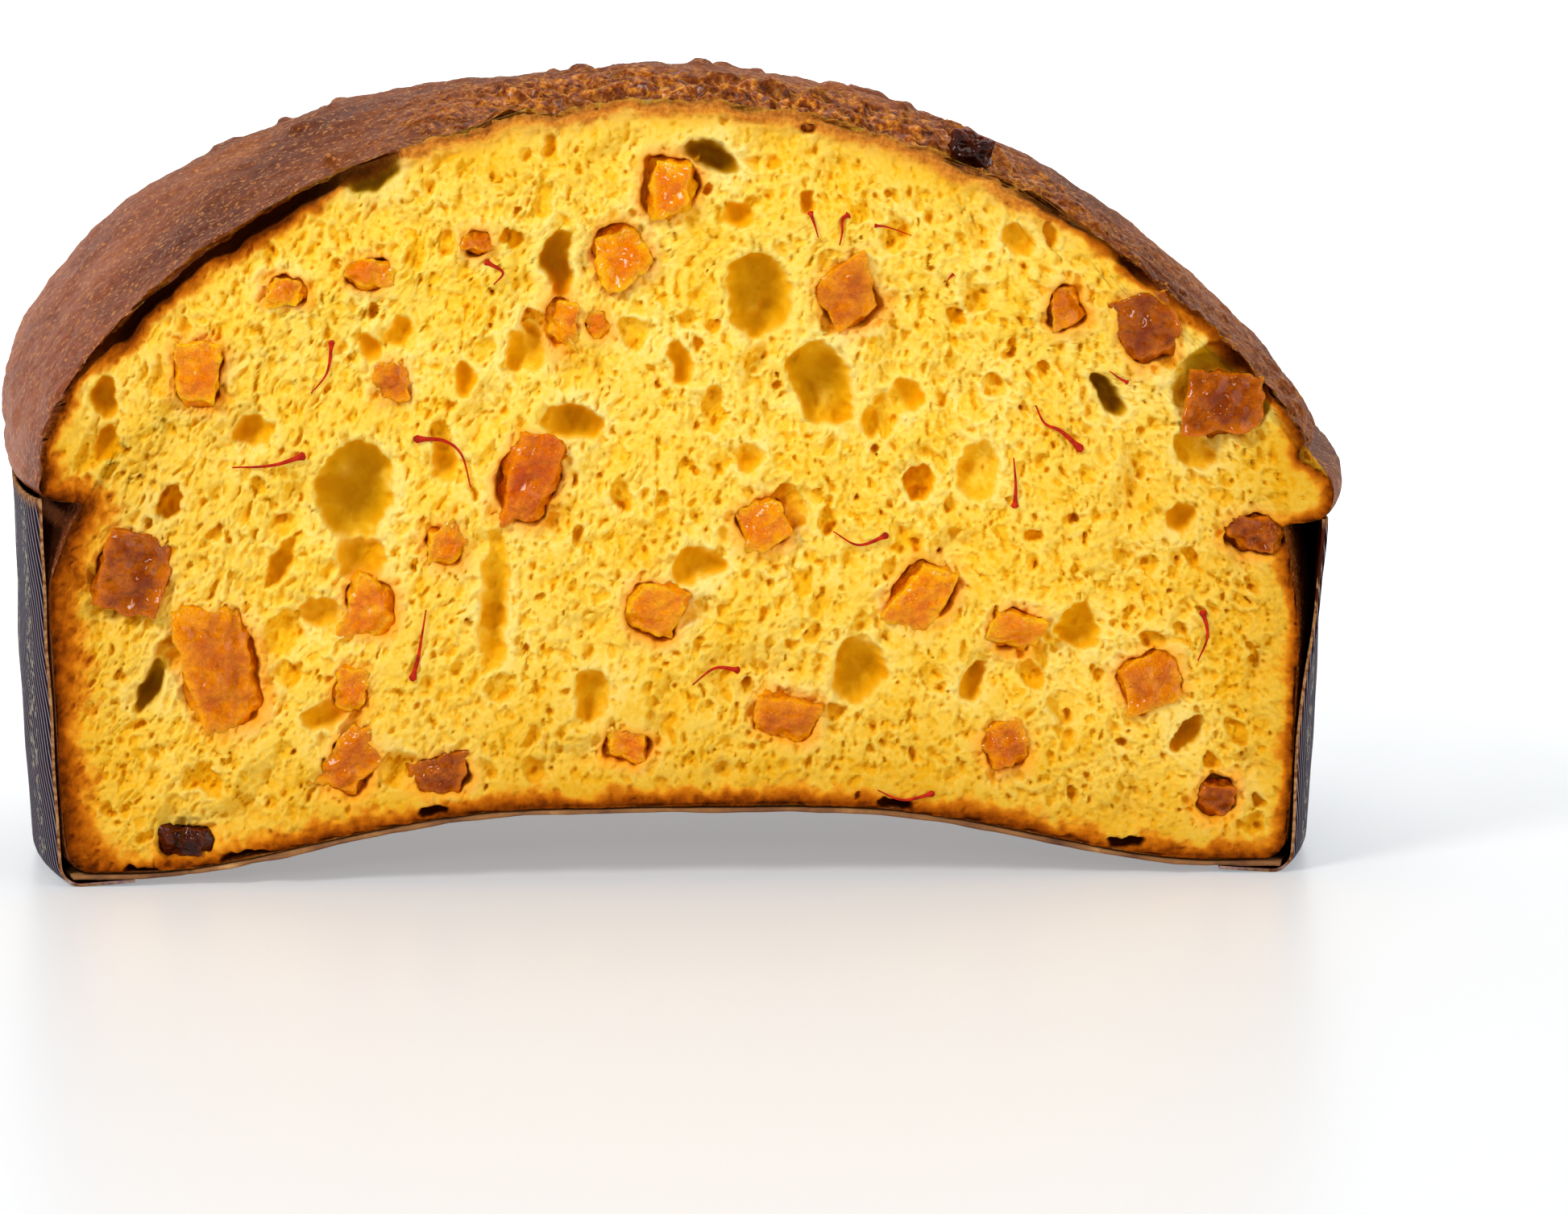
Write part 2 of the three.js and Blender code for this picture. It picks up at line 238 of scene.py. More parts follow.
fruitCuts = [
    (5, "orange", 0.8), (-14, "orange", 0.5), (-34, "amber", 0.9), (4, "orange", 0.9), (12, "orange", 0.5),
    (8, "orange", 0.5), (10, "amber", 0.7), (0, "orange", 0.4), (-8, "orange", 0.5), (16, "red", 0.5),
    (24, "dark", 0.9), (-8, "amber", 0.35), (-12, "orange", 0.6), (10, "orange", 0.4), (30, "amber", 0.6),
    (-6, "dark", 0.6), (6, "orange", 0.5), (-16, "dark", 0.6), (8, "dark", 0.7), (-20, "amber", 0.5),
    (12, "dark", 0.5), (2, "burnt", -0.2), (10, "amber", 0.5), (22, "orange", 0.7), (-15, "orange", 0.5),
    (10, "amber", 0.7), (38, "orange", 0.9), (-10, "amber", 0.5), (18, "orange", 0.6), (-24, "amber", 0.8),
    (5, "orange", 0.5), (12, "dark", 0.5), (28, "burnt", -0.5),
]
fruitNames = [f"candied_fruit_{k + 1:02d}" for k in range(len(fruitCuts))]


def fruitPlace(k):
    low, high = (toCut(corner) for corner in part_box(fruitNames[k]))
    turn = math.radians(fruitCuts[k][0])
    shrink = 1 / (abs(math.cos(turn)) + 0.6 * abs(math.sin(turn)))
    return (low + high) / 2, (high - low) * (shrink, 1, shrink), turn


# A map of the cut face: how deep the open crumb goes at each place

crumb = {
    "pitch": 0.2, "side": 110, "low": -3, "high": 131,  # the map's step and its edges
    "foam": ((2.1, 1.25, 0.46), (1.2, 1.3, 0.56), (0.72, 1.15, 0.58)),  # cell size, stretch, fill
    "open": 0.58,  # how much of each cell's depth shows
    "midCells": 1100, "wideCells": 130,
    "swell": 0.45, "dips": 2.4,  # how far the cut face is from flat
    "toastTop": 2.9, "toastWall": 7.0, "toastBase": 4.2,  # how far the browning goes in
    "crack": 6.0,  # depth of the split between crust and crumb
    # along the top: where the crust lifts off the crumb on each side, and where it flakes
    "liftLeft": (-92, -84, -58, -44), "liftRight": (60, 70, 80, 90), "flaky": (-62, -40, 48, 66),
}

# The largest gas cells: x, z, width, height, depth, lean in degrees
gasCells = [
    (-50.4, 61.5, 11.5, 15, 11, 4), (-49.6, 51.5, 8, 9, 6, -4), (12.2, 92.3, 10, 14, 9, -4),
    (22.4, 78, 9.4, 14, 9, -20), (-18.2, 97.2, 4.4, 10.5, 9, 0), (-29, 44.5, 4.6, 24, 4.5, 2),
    (-16.4, 72.6, 9.6, 6.6, 7, 8), (5.6, 113.6, 9, 3.4, 8, 20), (46.8, 64.6, 6.4, 10, 4, 6),
    (-88.6, 76.6, 4.2, 7.6, 6, 4), (-88.2, 69.6, 4, 5, 5, 10), (-25.3, 83.6, 4, 6, 5, 4),
    (0.3, 81.4, 3, 6.4, 5, -12), (-61.8, 50.7, 3, 9, 5, 18), (-82.4, 31.3, 2.8, 10, 7, 24),
    (-56.2, 42.4, 6.4, 5, 5, 0), (-55.4, 27, 8.4, 4.6, 5, -40), (-36.7, 66.4, 5.4, 8, 4, 0),
    (-22.8, 84.4, 4.4, 7, 4, 4), (66.9, 75.6, 3, 8, 7, -40), (52.9, 100.2, 6, 4, 4, 24),
    (80.3, 67.2, 8, 5, 4, 30), (78.5, 57.1, 5, 5, 4, 0), (10.9, 67.1, 5, 5, 4, 0),
    (-33.4, 79.4, 4, 5, 4, 8), (-47.7, 84.5, 4, 5, 4, 0), (-43.3, 87, 3.4, 4, 4, 0),
    (9.7, 104.2, 6, 4, 4, 0), (29.7, 72.1, 4, 6, 4, 8), (35.4, 76.4, 5, 6, 4, 14),
    (60.6, 91.5, 5, 4, 4, 0), (-47.2, 111.2, 10, 6, 9, -26), (28, 33, 8, 11, 7, 14),
    (63, 39.5, 7, 8, 6, -10), (-14, 30, 6, 9, 5, -8), (46, 31, 4, 8, 5, 20),
    (3, 50, 9, 6, 6, 0), (80, 22, 3, 7, 6, 24), (85.3, 77.5, 17, 14, 6, 10),
    (-66, 71.4, 7.4, 4.4, 4.6, -6), (19.5, 117.6, 3.4, 2.2, 4, 0), (20.6, 106.5, 2.4, 4, 4, 16),
]
# Pits painted dark as shade, in the bottom crust and in some holes: x, z, width, height, lean in degrees,
# how dark
shadedPits = [
    (-68, 4.4, 9, 2.6, -5, 1), (-58.6, 4.8, 5, 1.6, -5, 1), (-39, 11.2, 5, 2, -5, 1),
    (-84, 2.6, 6, 1.6, -5, 1), (34, 11.6, 5, 1.8, 5, 1), (70, 5, 7, 2, 5, 1),
    (-47.4, 112, 12, 7, -26, 0.5), (5.6, 113.6, 10, 4, 20, 0.35), (85.3, 79.5, 15, 6, 16, 0.4),
    (-82.4, 31.3, 3.2, 10, 24, 0.35), (66.9, 75.6, 3.6, 8, -40, 0.45),
]

edgeSteps = {"wall": 450, "across": 760}


def alongLine(points):
    # how far along the line each of its points is
    return np.concatenate([[0], np.cumsum(np.linalg.norm(np.diff(points, axis=0), axis=1))])


def evenly(line, count):
    # the same line with "count" equal steps
    length = alongLine(line)
    at = np.linspace(0, length[-1], count + 1)
    return np.stack([np.interp(at, length, line[:, k]) for k in range(line.shape[1])], axis=-1)


fineSamples = np.linspace(0, 1, 700)
fineRings = sideRings(fineSamples, 1)
rightSide, leftSide = fineRings[:, 0], fineRings[:, -1]
eased = (1 - np.cos(np.linspace(0, math.pi, 900))) / 2
acrossX = rightSide[-1, 0] + (leftSide[-1, 0] - rightSide[-1, 0]) * eased
domeLine = np.stack([acrossX, acrossX * 0, domeHeight(acrossX, acrossX * 0)], axis=-1)[::-1]
baseX = np.linspace(leftSide[0, 0], rightSide[0, 0], 400)
baseLine = np.stack([baseX, baseX * 0, floorHeight(baseX, 0)], axis=-1)


def roughEdge(line, amount, shift):
    # a torn edge: the line pushed in and out, with its two ends left where they are
    length = np.linspace(0, 1, len(line))
    hold = ease(length, 0, 0.03) * ease(1 - length, 0, 0.03)
    way = np.gradient(line[:, [0, 2]], axis=0)
    out = np.stack([-way[:, 1], way[:, 0]], axis=-1) / (np.linalg.norm(way, axis=1)[:, None] + 1e-9)
    push = amount * clouds(line, (0.6, 7, shift), (0.35, 2.2, shift), (0.2, 0.8, shift))
    moved = line.copy()
    moved[:, [0, 2]] += out * (push * hold)[:, None]
    return moved


cutTop = roughEdge(evenly(domeLine, edgeSteps["across"]), 1.3, 3.1)
cutBase = roughEdge(evenly(baseLine, edgeSteps["across"]), 0.35, 5.2)
cutLeft = roughEdge(evenly(leftSide, edgeSteps["wall"]), 0.3, 7.3)
cutRight = roughEdge(evenly(rightSide, edgeSteps["wall"]), 0.3, 9.4)

pitch, mapSide, mapLow, mapHigh = (crumb[k] for k in ("pitch", "side", "low", "high"))
mapX = np.arange(-mapSide, mapSide, pitch)
mapZ = np.arange(mapLow, mapHigh, pitch)
gridX, gridZ = np.meshgrid(mapX, mapZ)


def distanceTo(line, coarse=5):
    x, z = gridX[::coarse, ::coarse], gridZ[::coarse, ::coarse]
    near = np.full(x.shape, np.inf)
    for point in line:
        near = np.minimum(near, np.hypot(x - point[0], z - point[2]))
    near = np.array([np.interp(mapX, mapX[::coarse], row) for row in near])
    return np.array([np.interp(mapZ, mapZ[::coarse], column) for column in near.T]).T


def blurred(values, radius):
    # a soft average over about "radius" millimetres: three box averages
    half = max(1, round(radius / pitch / 1.7))
    for _ in range(3):
        for axis in (0, 1):
            padded = np.concatenate([np.repeat(np.take(values, [0], axis), half + 1, axis), values,
                                     np.repeat(np.take(values, [-1], axis), half, axis)], axis)
            total = np.cumsum(padded, axis)
            size = values.shape[axis]
            upper = np.take(total, range(2 * half + 1, 2 * half + 1 + size), axis)
            lower = np.take(total, range(size), axis)
            values = (upper - lower) / (2 * half + 1)
    return values


def mapPoints(deep=0.0):
    return flat(gridX, gridZ, deep)


print("mapping the crumb")
fromTop = distanceTo(cutTop[::2])
fromWall = np.minimum(distanceTo(cutLeft[::2]), distanceTo(cutRight[::2]))
fromBase = distanceTo(cutBase[::2])
fromEdge = np.minimum(np.minimum(fromTop, fromWall), fromBase)
toughness = ease(fromEdge, 1.0, 8.0)  # cells are small near the crust

wander = noise(mapPoints(), 5.5, 1.7), noise(mapPoints(3), 5.5, 4.1)
ripple = noise(mapPoints(), 1.5, 2.3), noise(mapPoints(3), 1.5, 6.2)
warpX = gridX + 1.1 * wander[0] + 0.42 * ripple[0]
warpZ = gridZ + 1.1 * wander[1] + 0.42 * ripple[1]

depth = np.zeros(gridX.shape)


def carve(x, z, y, wide, high, deep, lean, target=None):
    # opens an egg-shaped cell where it meets what is already open
    target = depth if target is None else target
    reach = max(wide, high) + 1.8
    i0, i1 = np.searchsorted(mapZ, (z - reach, z + reach))
    j0, j1 = np.searchsorted(mapX, (x - reach, x + reach))
    window = (slice(i0, i1), slice(j0, j1))
    dx, dz = warpX[window] - x, warpZ[window] - z
    c, s = math.cos(lean), math.sin(lean)
    inside = 1 - ((dx * c + dz * s) / wide) ** 2 - ((dz * c - dx * s) / high) ** 2
    half = deep * np.sqrt(np.clip(inside, 0, 1))
    opened = (inside > 0) & (y - half <= target[window])
    target[window] = np.where(opened, np.maximum(target[window], y + half), target[window])


fibres = {"towards": 215, "lean": 1.15}  # height of the point they run to, and how strongly


def fibreLean(x, z):
    # the dough rose from the corners of the mould towards a point high over the middle
    return np.arctan2(x, fibres["towards"] - z) * fibres["lean"]


def scatter(count, low, high, behind, seedShift):
    x = rng.uniform(-104, 104, count)
    z = rng.uniform(0, 127, count)
    size = low * (high / low) ** (rng.random(count) ** 1.6)
    row = np.clip(((z - mapZ[0]) / pitch).astype(int), 0, len(mapZ) - 1)
    column = np.clip(((x - mapX[0]) / pitch).astype(int), 0, len(mapX) - 1)
    coarse = noise(flat(x, z), 16, seedShift)
    size *= 0.45 + 0.55 * toughness[row, column]
    size *= 1 + 0.25 * coarse
    y = rng.uniform(-1, behind, count) * size
    stretch = rng.uniform(1.0, 1.75, count)
    stretch += 0.7 * (1 - ease(fromWall[row, column], 4, 22)) * rng.random(count)
    lean = fibreLean(x, z) + rng.normal(0, 0.35, count)
    return list(zip(x, z, y, size / np.sqrt(stretch), size * np.sqrt(stretch), size * 0.65, lean))


cells = scatter(crumb["wideCells"], 2.2, 3.8, 0.7, 1.5)
cells += scatter(crumb["midCells"], 0.9, 2.2, 0.9, 2.5)
cells.sort(key=lambda c: c[2] - c[5])
for cell in cells:
    carve(*cell)


def chance(i, j, k, salt):
    # a number from 0 to 1 that belongs to one place in a lattice
    return latticeOrder[(latticeOrder[(latticeOrder[(i + salt) & 255] + j) & 255] + k) & 255] / 255


def foam(opening, size, stretch, fill, salt):
    # opens a lattice of jittered round cells wherever they reach what is already open
    u, v = warpX * (1 + 0.004 * gridZ) / size, warpZ / (size * stretch)
    i, k, layer = (np.floor(t).astype(int) for t in (u, v, opening / size))
    reached = opening / size
    for j in (layer - 1, layer, layer + 1):
        for di, dk in itertools.product((-1, 0, 1), repeat=2):
            a, b = i + di, k + dk
            radius = fill * (0.45 + 0.75 * chance(a, j, b, salt))
            off = (u - a - chance(a, j, b, salt + 31)) ** 2 + (v - b - chance(a, j, b, salt + 67)) ** 2
            half = np.sqrt(np.clip(radius ** 2 - off, 0, None))
            y = j + chance(a, j, b, salt + 103)
            reached = np.where((half > 0) & (y - half <= reached), np.maximum(reached, y + half), reached)
    return reached * size


for number, (size, stretch, fill) in enumerate(crumb["foam"]):
    opened = foam(depth, size, stretch, fill, 17 * number)
    depth += (opened - depth) * crumb["open"] * (0.35 + 0.65 * toughness)
bigHoles = np.zeros(gridX.shape)
for x, z, wide, high, deep, lean in gasCells:
    turn = -math.radians(lean)
    carve(x, z, deep * 0.12, wide / 2, high / 2, deep * 0.88, turn, bigHoles)
bigHoles *= 0.85 + 0.3 * noise(mapPoints(), 5, 7.9)
inHole = ease(bigHoles, 0.1, 1.2)
depth = depth * (1 - 0.6 * inHole) + bigHoles
# painted shade: how dark each pit is painted
pitShade = np.zeros(gridX.shape)
for x, z, wide, high, lean, dark in shadedPits:
    one = np.zeros(gridX.shape)
    carve(x, z, 0, wide / 2, high / 2, 3.0, -math.radians(lean), one)
    depth = np.maximum(depth, one)
    pitShade = np.maximum(pitShade, dark * ease(one, 0.4, 1.8))

# a bed for each piece of fruit, a little smaller than the fruit
glow = np.zeros(gridX.shape)
for k, name in enumerate(fruitNames[:-1]):
    centre, size, turn = fruitPlace(k)
    dx, dz = warpX - centre[0], warpZ - centre[2]
    c, s = math.cos(turn), math.sin(turn)
    u, v = (dx * c - dz * s) / size[0] * 2, (dz * c + dx * s) / size[2] * 2
    reach = (np.abs(u) ** 3 + np.abs(v) ** 3) ** (1 / 3)
    bed = 1 - ease(reach, 0.86, 1.0)
    depth = np.maximum(depth * (1 - 0.5 * bed), 4.5 * bed)
    glow = np.maximum(glow, np.exp(-np.maximum(reach - 1, 0) * size[0] / 2 / 2.2))

# the split between the crust and the crumb: widest at the upper left, and flakes along the top
lift = band(gridX, *crumb["liftLeft"]) + 0.3 * band(gridX, *crumb["liftRight"])
split = 0.04 + 0.9 * lift + 0.4 * noise(mapPoints(), 9, 8.8)
crackWide = np.maximum(1.1 + 1.5 * lift + 0.5 * noise(mapPoints(), 3.5, 5.1), 0.7)
crackEdge = 0.35 + 0.45 * lift
crack = band(fromTop, crackEdge * 0.6, crackEdge, crackWide * 0.75, crackWide)
crack *= np.clip(split, 0, 1.2)
sideCrack = 0.7 * (1 - ease(np.minimum(fromWall, fromBase), 0.1, 0.5))
layers = noise(np.stack([gridX / 6, gridX * 0, fromTop], axis=-1), 0.8, 3.3)
flaky = (1 - ease(fromTop, 1.5, 4.5)) * band(gridX, *crumb["flaky"])

swell = crumb["swell"] * clouds(mapPoints(), (1, 26, 0.4), (0.6, 9, 2.2))
dips = noise(np.stack([warpX * 1.3, gridX * 0, warpZ], -1), 12, 3.8)
swell += crumb["dips"] * toughness * ease(dips, 0.1, 0.9)
fluff = clouds(mapPoints(), (0.4, 5, 8.1), (0.3, 2.4, 6.1), (0.22, 1.1, 7.7), (0.16, 0.55, 9.9))
toastWide = 1 + 0.5 * noise(mapPoints(), 6, 4.4) + 0.3 * noise(mapPoints(), 1.6, 1.4)
browned = toastWide.clip(0.3)
leftMore = 0.45 + 0.55 * ease(-gridX, -40, 40)  # the left side browned more
toast = np.maximum(1 - (fromTop - crackWide * np.clip(split, 0, 1)) / (crumb["toastTop"] * browned),
                   1 - fromWall / (crumb["toastWall"] * browned * leftMore))
toast = np.maximum(toast, 1 - fromBase / (crumb["toastBase"] * browned)).clip(0)
near, wide = blurred(depth, 0.9), blurred(depth, 3.5)
# how far each place lies below its surroundings; it paints shade into the crumb's pores and a highlight
# onto its ridges
relief = np.maximum(0.75 * (depth - near) + 0.5 * (near - wide), -0.55)
surface = 0.65 * depth + 0.35 * blurred(depth, 0.2) + fluff * (1 - 0.6 * inHole)
surface = surface + swell + flaky * layers * 0.9
surface = np.maximum(surface, crumb["crack"] * crack) + sideCrack


def fromMap(values, x, z):
    # a map's value at any place, from its four nearest cells
    i = np.clip((z - mapZ[0]) / pitch, 0, len(mapZ) - 1.001)
    j = np.clip((x - mapX[0]) / pitch, 0, len(mapX) - 1.001)
    i0, j0 = i.astype(int), j.astype(int)
    a, b = i - i0, j - j0
    top = values[i0, j0] * (1 - b) + values[i0, j0 + 1] * b
    low = values[i0 + 1, j0] * (1 - b) + values[i0 + 1, j0 + 1] * b
    return top * (1 - a) + low * a


# Meshes from grids

def gridFaces(rows, columns, start=0):
    # two triangles for each cell of a grid of rows by columns points
    k = start + np.arange((rows - 1) * columns).reshape(rows - 1, columns)[:, :-1].ravel()
    a, b, c, d = k, k + 1, k + columns + 1, k + columns
    return np.concatenate([np.stack([a, b, c], 1), np.stack([a, c, d], 1)])


def welded(points, digits):
    # the points to keep, and for every point its number among them
    _, kept, joined = np.unique(np.round(points, digits), axis=0, return_index=True, return_inverse=True)
    return kept, joined.ravel()


def wholeFaces(faces):
    # the triangles that still have three different corners
    a, b, c = faces[:, 0], faces[:, 1], faces[:, 2]
    return (a != b) & (b != c) & (a != c)


def makeMesh(name, points, faces, attributes=None, corners=None):
    mesh = bpy.data.meshes.new(name)
    places = fromCut(points)
    mesh.vertices.add(len(places))
    mesh.vertices.foreach_set("co", places.astype(np.float32).ravel())
    mesh.loops.add(faces.size)
    mesh.loops.foreach_set("vertex_index", faces.ravel().astype(np.int32))
    mesh.polygons.add(len(faces))
    mesh.polygons.foreach_set("loop_start", np.arange(len(faces), dtype=np.int32) * faces.shape[1])
    mesh.polygons.foreach_set("use_smooth", np.full(len(faces), True))
    mesh.update(calc_edges=True)
    for key, values in (attributes or {}).items():
        layer = mesh.attributes.new(key, "FLOAT", "POINT")
        layer.data.foreach_set("value", np.asarray(values, np.float32))
    if corners is not None:
        layer = mesh.uv_layers.new(name="OFBake")
        layer.uv.foreach_set("vector", np.asarray(corners, np.float32).ravel())
    piece = bpy.data.objects.new(name, mesh)
    bpy.context.scene.collection.objects.link(piece)
    return piece


def zipLoops(first, firstAt, second, secondAt):
    # triangles between two loops that run the same way, each with a rising place along the way
    faces = []
    i = j = 0
    while i < len(first) - 1 or j < len(second) - 1:
        if j == len(second) - 1 or (i < len(first) - 1 and firstAt[i + 1] <= secondAt[j + 1]):
            faces.append((first[i], first[i + 1], second[j]))
            i += 1
        else:
            faces.append((first[i], second[j + 1], second[j]))
            j += 1
    return np.array(faces)


def sidePlaces(points, sides):
    # a place along a loop made of several sides: the side's number, and the share of its length
    places = []
    for number, side in enumerate(sides):
        length = alongLine(points[side])
        places.append(number + length / length[-1])
    return places


# The loaf

print("building the loaf")
crust = {
    "across": 420, "slices": 230, "levels": 70,  # how finely it is divided
    "lump": 1.1, "wrinkle": 0.4, "grain": 0.15, "torn": 3.2, "slack": 0.9,
}

# the cut face: a sheet stretched between its four edges
u = np.linspace(0, 1, edgeSteps["across"] + 1)[None, :, None]
v = np.linspace(0, 1, edgeSteps["wall"] + 1)[:, None, None]
corner = cutBase[0] * (1 - u) * (1 - v) + cutBase[-1] * u * (1 - v)
corner = corner + cutTop[0] * (1 - u) * v + cutTop[-1] * u * v
face = cutBase[None] * (1 - v) + cutTop[None] * v
face = face + cutLeft[:, None] * (1 - u) + cutRight[:, None] * u - corner
faceRows, faceColumns = face.shape[:2]
face = face.reshape(-1, 3)
face[:, 1] = fromMap(surface, face[:, 0], face[:, 2])
faceFaces = gridFaces(faceRows, faceColumns)


def faceCorner(points):
    # where a point of the cut face lies on the flat layout used for baking
    return np.stack([points[..., 0] + mapSide, points[..., 2] - mapLow], axis=-1) / (2 * mapSide)


faceCorners = faceCorner(face)

# the outside: the side, the dome and the underside
levels = np.concatenate([np.linspace(0, 0.35, 14)[:-1], np.linspace(0.35, 1, crust["levels"] - 13)])
rings = sideRings(levels, crust["slices"])
across = np.linspace(0, 1, crust["across"] + 1)


def sheetAcross(ring, heightAt):
    sheet = slices(ring, across)
    sheet[..., 2] = heightAt(sheet[..., 0], sheet[..., 1])
    sheet[:, 0], sheet[:, -1] = ring[:crust["slices"] + 1], ring[:crust["slices"] - 1:-1]
    return sheet


dome = sheetAcross(rings[-1], domeHeight)
under = sheetAcross(rings[0], floorHeight)
grids = [rings, dome, under]
starts = np.cumsum([0] + [g.shape[0] * g.shape[1] for g in grids])
raw = np.concatenate([g.reshape(-1, 3) for g in grids])
rawFaces = np.concatenate([
    gridFaces(*rings.shape[:2], starts[0]),
    gridFaces(*dome.shape[:2], starts[1])[:, ::-1],
    gridFaces(*under.shape[:2], starts[2]),
])
rawCorners = np.concatenate([
    np.stack(np.meshgrid(np.linspace(0, 1, g.shape[1]),
                         np.linspace(low, high, g.shape[0])), axis=-1).reshape(-1, 2)
    for g, low, high in zip(grids, (0.90, 0.64, 0.97), (0.96, 0.89, 0.999))
])
kept, weld = welded(raw, 4)
skin = raw[kept]
skinFaces = weld[rawFaces]
whole = wholeFaces(skinFaces)
skinFaces, skinCorners = skinFaces[whole], rawCorners[rawFaces[whole]]

# the loop where the outside meets the cut, right side first, then the dome, the left side and the base
ringIds = weld[starts[0]:starts[1]].reshape(rings.shape[:2])
domeIds = weld[starts[1]:starts[2]].reshape(dome.shape[:2])
underIds = weld[starts[2]:].reshape(under.shape[:2])
skinSides = [ringIds[:, 0], domeIds[0], ringIds[::-1, -1], underIds[0, ::-1]]

# crust relief: broad lumps, wrinkles that follow the shoulder, fine grain, and blisters
outward = skin - (0, knife, 45)
outward /= np.linalg.norm(outward, axis=1)[:, None]
onDome = ease(skin[:, 2], 55, 72)
stretched = skin * (1, 1, 1.9)
fold = 1 - np.abs(noise(stretched, 15, 2.9) + 0.35 * noise(skin, 6, 1.1))
fold = np.clip(fold, 0, 1) ** 9 * ease(noise(skin, 22, 7.7), -0.1, 0.5)
skinPush = crust["lump"] * clouds(skin, (0.9, 30, 5.5), (0.5, 11, 3.6))
skinPush -= crust["wrinkle"] * fold * ease(skin[:, 2], 60, 80)
skinPush += crust["grain"] * clouds(skin, (2.2, 5.2, 9.7), (1, 2.1, 8.3), (0.7, 1.0, 6.6))
blister = ease(noise(skin * (1, 0.6, 1), 6.5, 7.1), 0.35, 0.7) * 1.1 * ease(skin[:, 2], 100, 118)
# the crust broke open along the cut, over the top and down the right
torn = (1 - ease(skin[:, 1], 12, 42)) * ease(skin[:, 0], -52, -22)
torn *= (1 - 0.75 * ease(skin[:, 0], 40, 75)) * onDome
along = skin * (0.4, 1.3, 1.0)
flakes = 1 - np.abs(clouds(along, (1, 5, 2.4), (0.4, 2.2, 1.8))) * 2.6
crevice = ease(flakes, 0.72, 0.95) * torn
broken = 0.7 * noise(along, 4, 9.1) + 0.35 * noise(skin, 1.9, 4.7)
skinPush += crust["torn"] * torn * broken - 1.6 * crevice
skinPush = (skinPush + blister - crust["slack"] * ease(skin[:, 2], 76, 96)) * onDome
# at the cut the shell stands a little back from the crumb, and curls out
nearCut = np.exp(-skin[:, 1] / 3.5)
curl = (0.5 + 0.7 * noise(skin, 8, 4.9) + 0.35 * noise(skin, 2.4, 2.6)) * nearCut * ease(skin[:, 2], 62, 74)
skin = skin + outward * (skinPush + curl)[:, None]
back = 0.5 + 0.9 * np.abs(noise(skin, 5, 1.3)) + 0.5 * np.abs(noise(skin, 1.7, 1.9))
setBack = back * nearCut ** 3 * (0.3 + 0.7 * onDome)
skin[:, 1] = np.where(skin[:, 1] < 30, skin[:, 1] + setBack, skin[:, 1])

offset = len(face)
faceIds = np.arange(offset).reshape(faceRows, faceColumns)
faceSides = [faceIds[:, -1], faceIds[-1, ::-1], faceIds[::-1, 0], faceIds[0]]
allPoints = np.concatenate([face, skin])
skinSides = [side + offset for side in skinSides]
seam = np.concatenate([
    zipLoops(a, at, b, bt) for a, at, b, bt in
    zip(faceSides, sidePlaces(allPoints, faceSides), skinSides, sidePlaces(allPoints, skinSides))
])
seamCorners = faceCorner(allPoints[seam])
loafFaces = np.concatenate([faceFaces, seam, skinFaces + offset])
loafCorners = np.concatenate([faceCorners[faceFaces], seamCorners, skinCorners]).reshape(-1, 2)


def loafValues(values, onSkin):
    return np.concatenate([fromMap(values, face[:, 0], face[:, 2]), np.full(len(skin), float(onSkin))])


tornSkin = torn * (0.75 + 0.9 * noise(along, 2.4, 5.9))
flakyEverywhere = np.concatenate([fromMap(flaky, face[:, 0], face[:, 2]), tornSkin])
# painted shade: dark in the pits and in the split between crust and crumb
pitAndCrackShade = np.maximum(pitShade, 0.75 * crack.clip(0, 1))
nearRind = np.maximum(np.exp(-np.minimum(fromWall, fromBase) / 17), 0.4 * np.exp(-fromTop / 6))
mauve = 0.1 + 0.8 * ease(-skin[:, 0], 66, 102)  # the left shoulder is the most purple
noFace = np.zeros(len(face))
loaf = makeMesh("loaf_crumb_and_crust", allPoints, loafFaces, {
    "relief": loafValues(relief, 0),
    # painted shade: the crumb darker inside the big gas cells
    "hollow": loafValues(ease(bigHoles, 1.5, 7), 0),
    "toast": loafValues(toast, 1),
    "glow": loafValues(glow, 0),
    "pit": loafValues(pitAndCrackShade, 0),
    "flaky": flakyEverywhere.clip(0, 1),
    "mauve": np.concatenate([noFace, mauve]),
    "skin": loafValues(np.zeros(gridX.shape), 1),
    "rind": loafValues(nearRind, 0),
    # painted shade in the crust's wrinkles and torn crevices
    "fold": np.concatenate([noFace, np.maximum(fold * onDome, 2.4 * crevice)]),
}, loafCorners)
print("loaf", len(allPoints), "points", len(loafFaces), "faces")


# Finishes

class Wire:
    # a node's socket, so that shader sums are written as sums
    def __init__(self, finish, socket):
        self.finish, self.socket = finish, socket

    def sum(self, operation, other, swap=False):
        pair = (other, self) if swap else (self, other)
        return self.finish.add("ShaderNodeMath", {"operation": operation}, {0: pair[0], 1: pair[1]})

    def __add__(self, other):
        return self.sum("ADD", other)

    def __radd__(self, other):
        return self.sum("ADD", other, True)

    def __sub__(self, other):
        return self.sum("SUBTRACT", other)

    def __rsub__(self, other):
        return self.sum("SUBTRACT", other, True)

    def __mul__(self, other):
        return self.sum("MULTIPLY", other)

    def __rmul__(self, other):
        return self.sum("MULTIPLY", other, True)


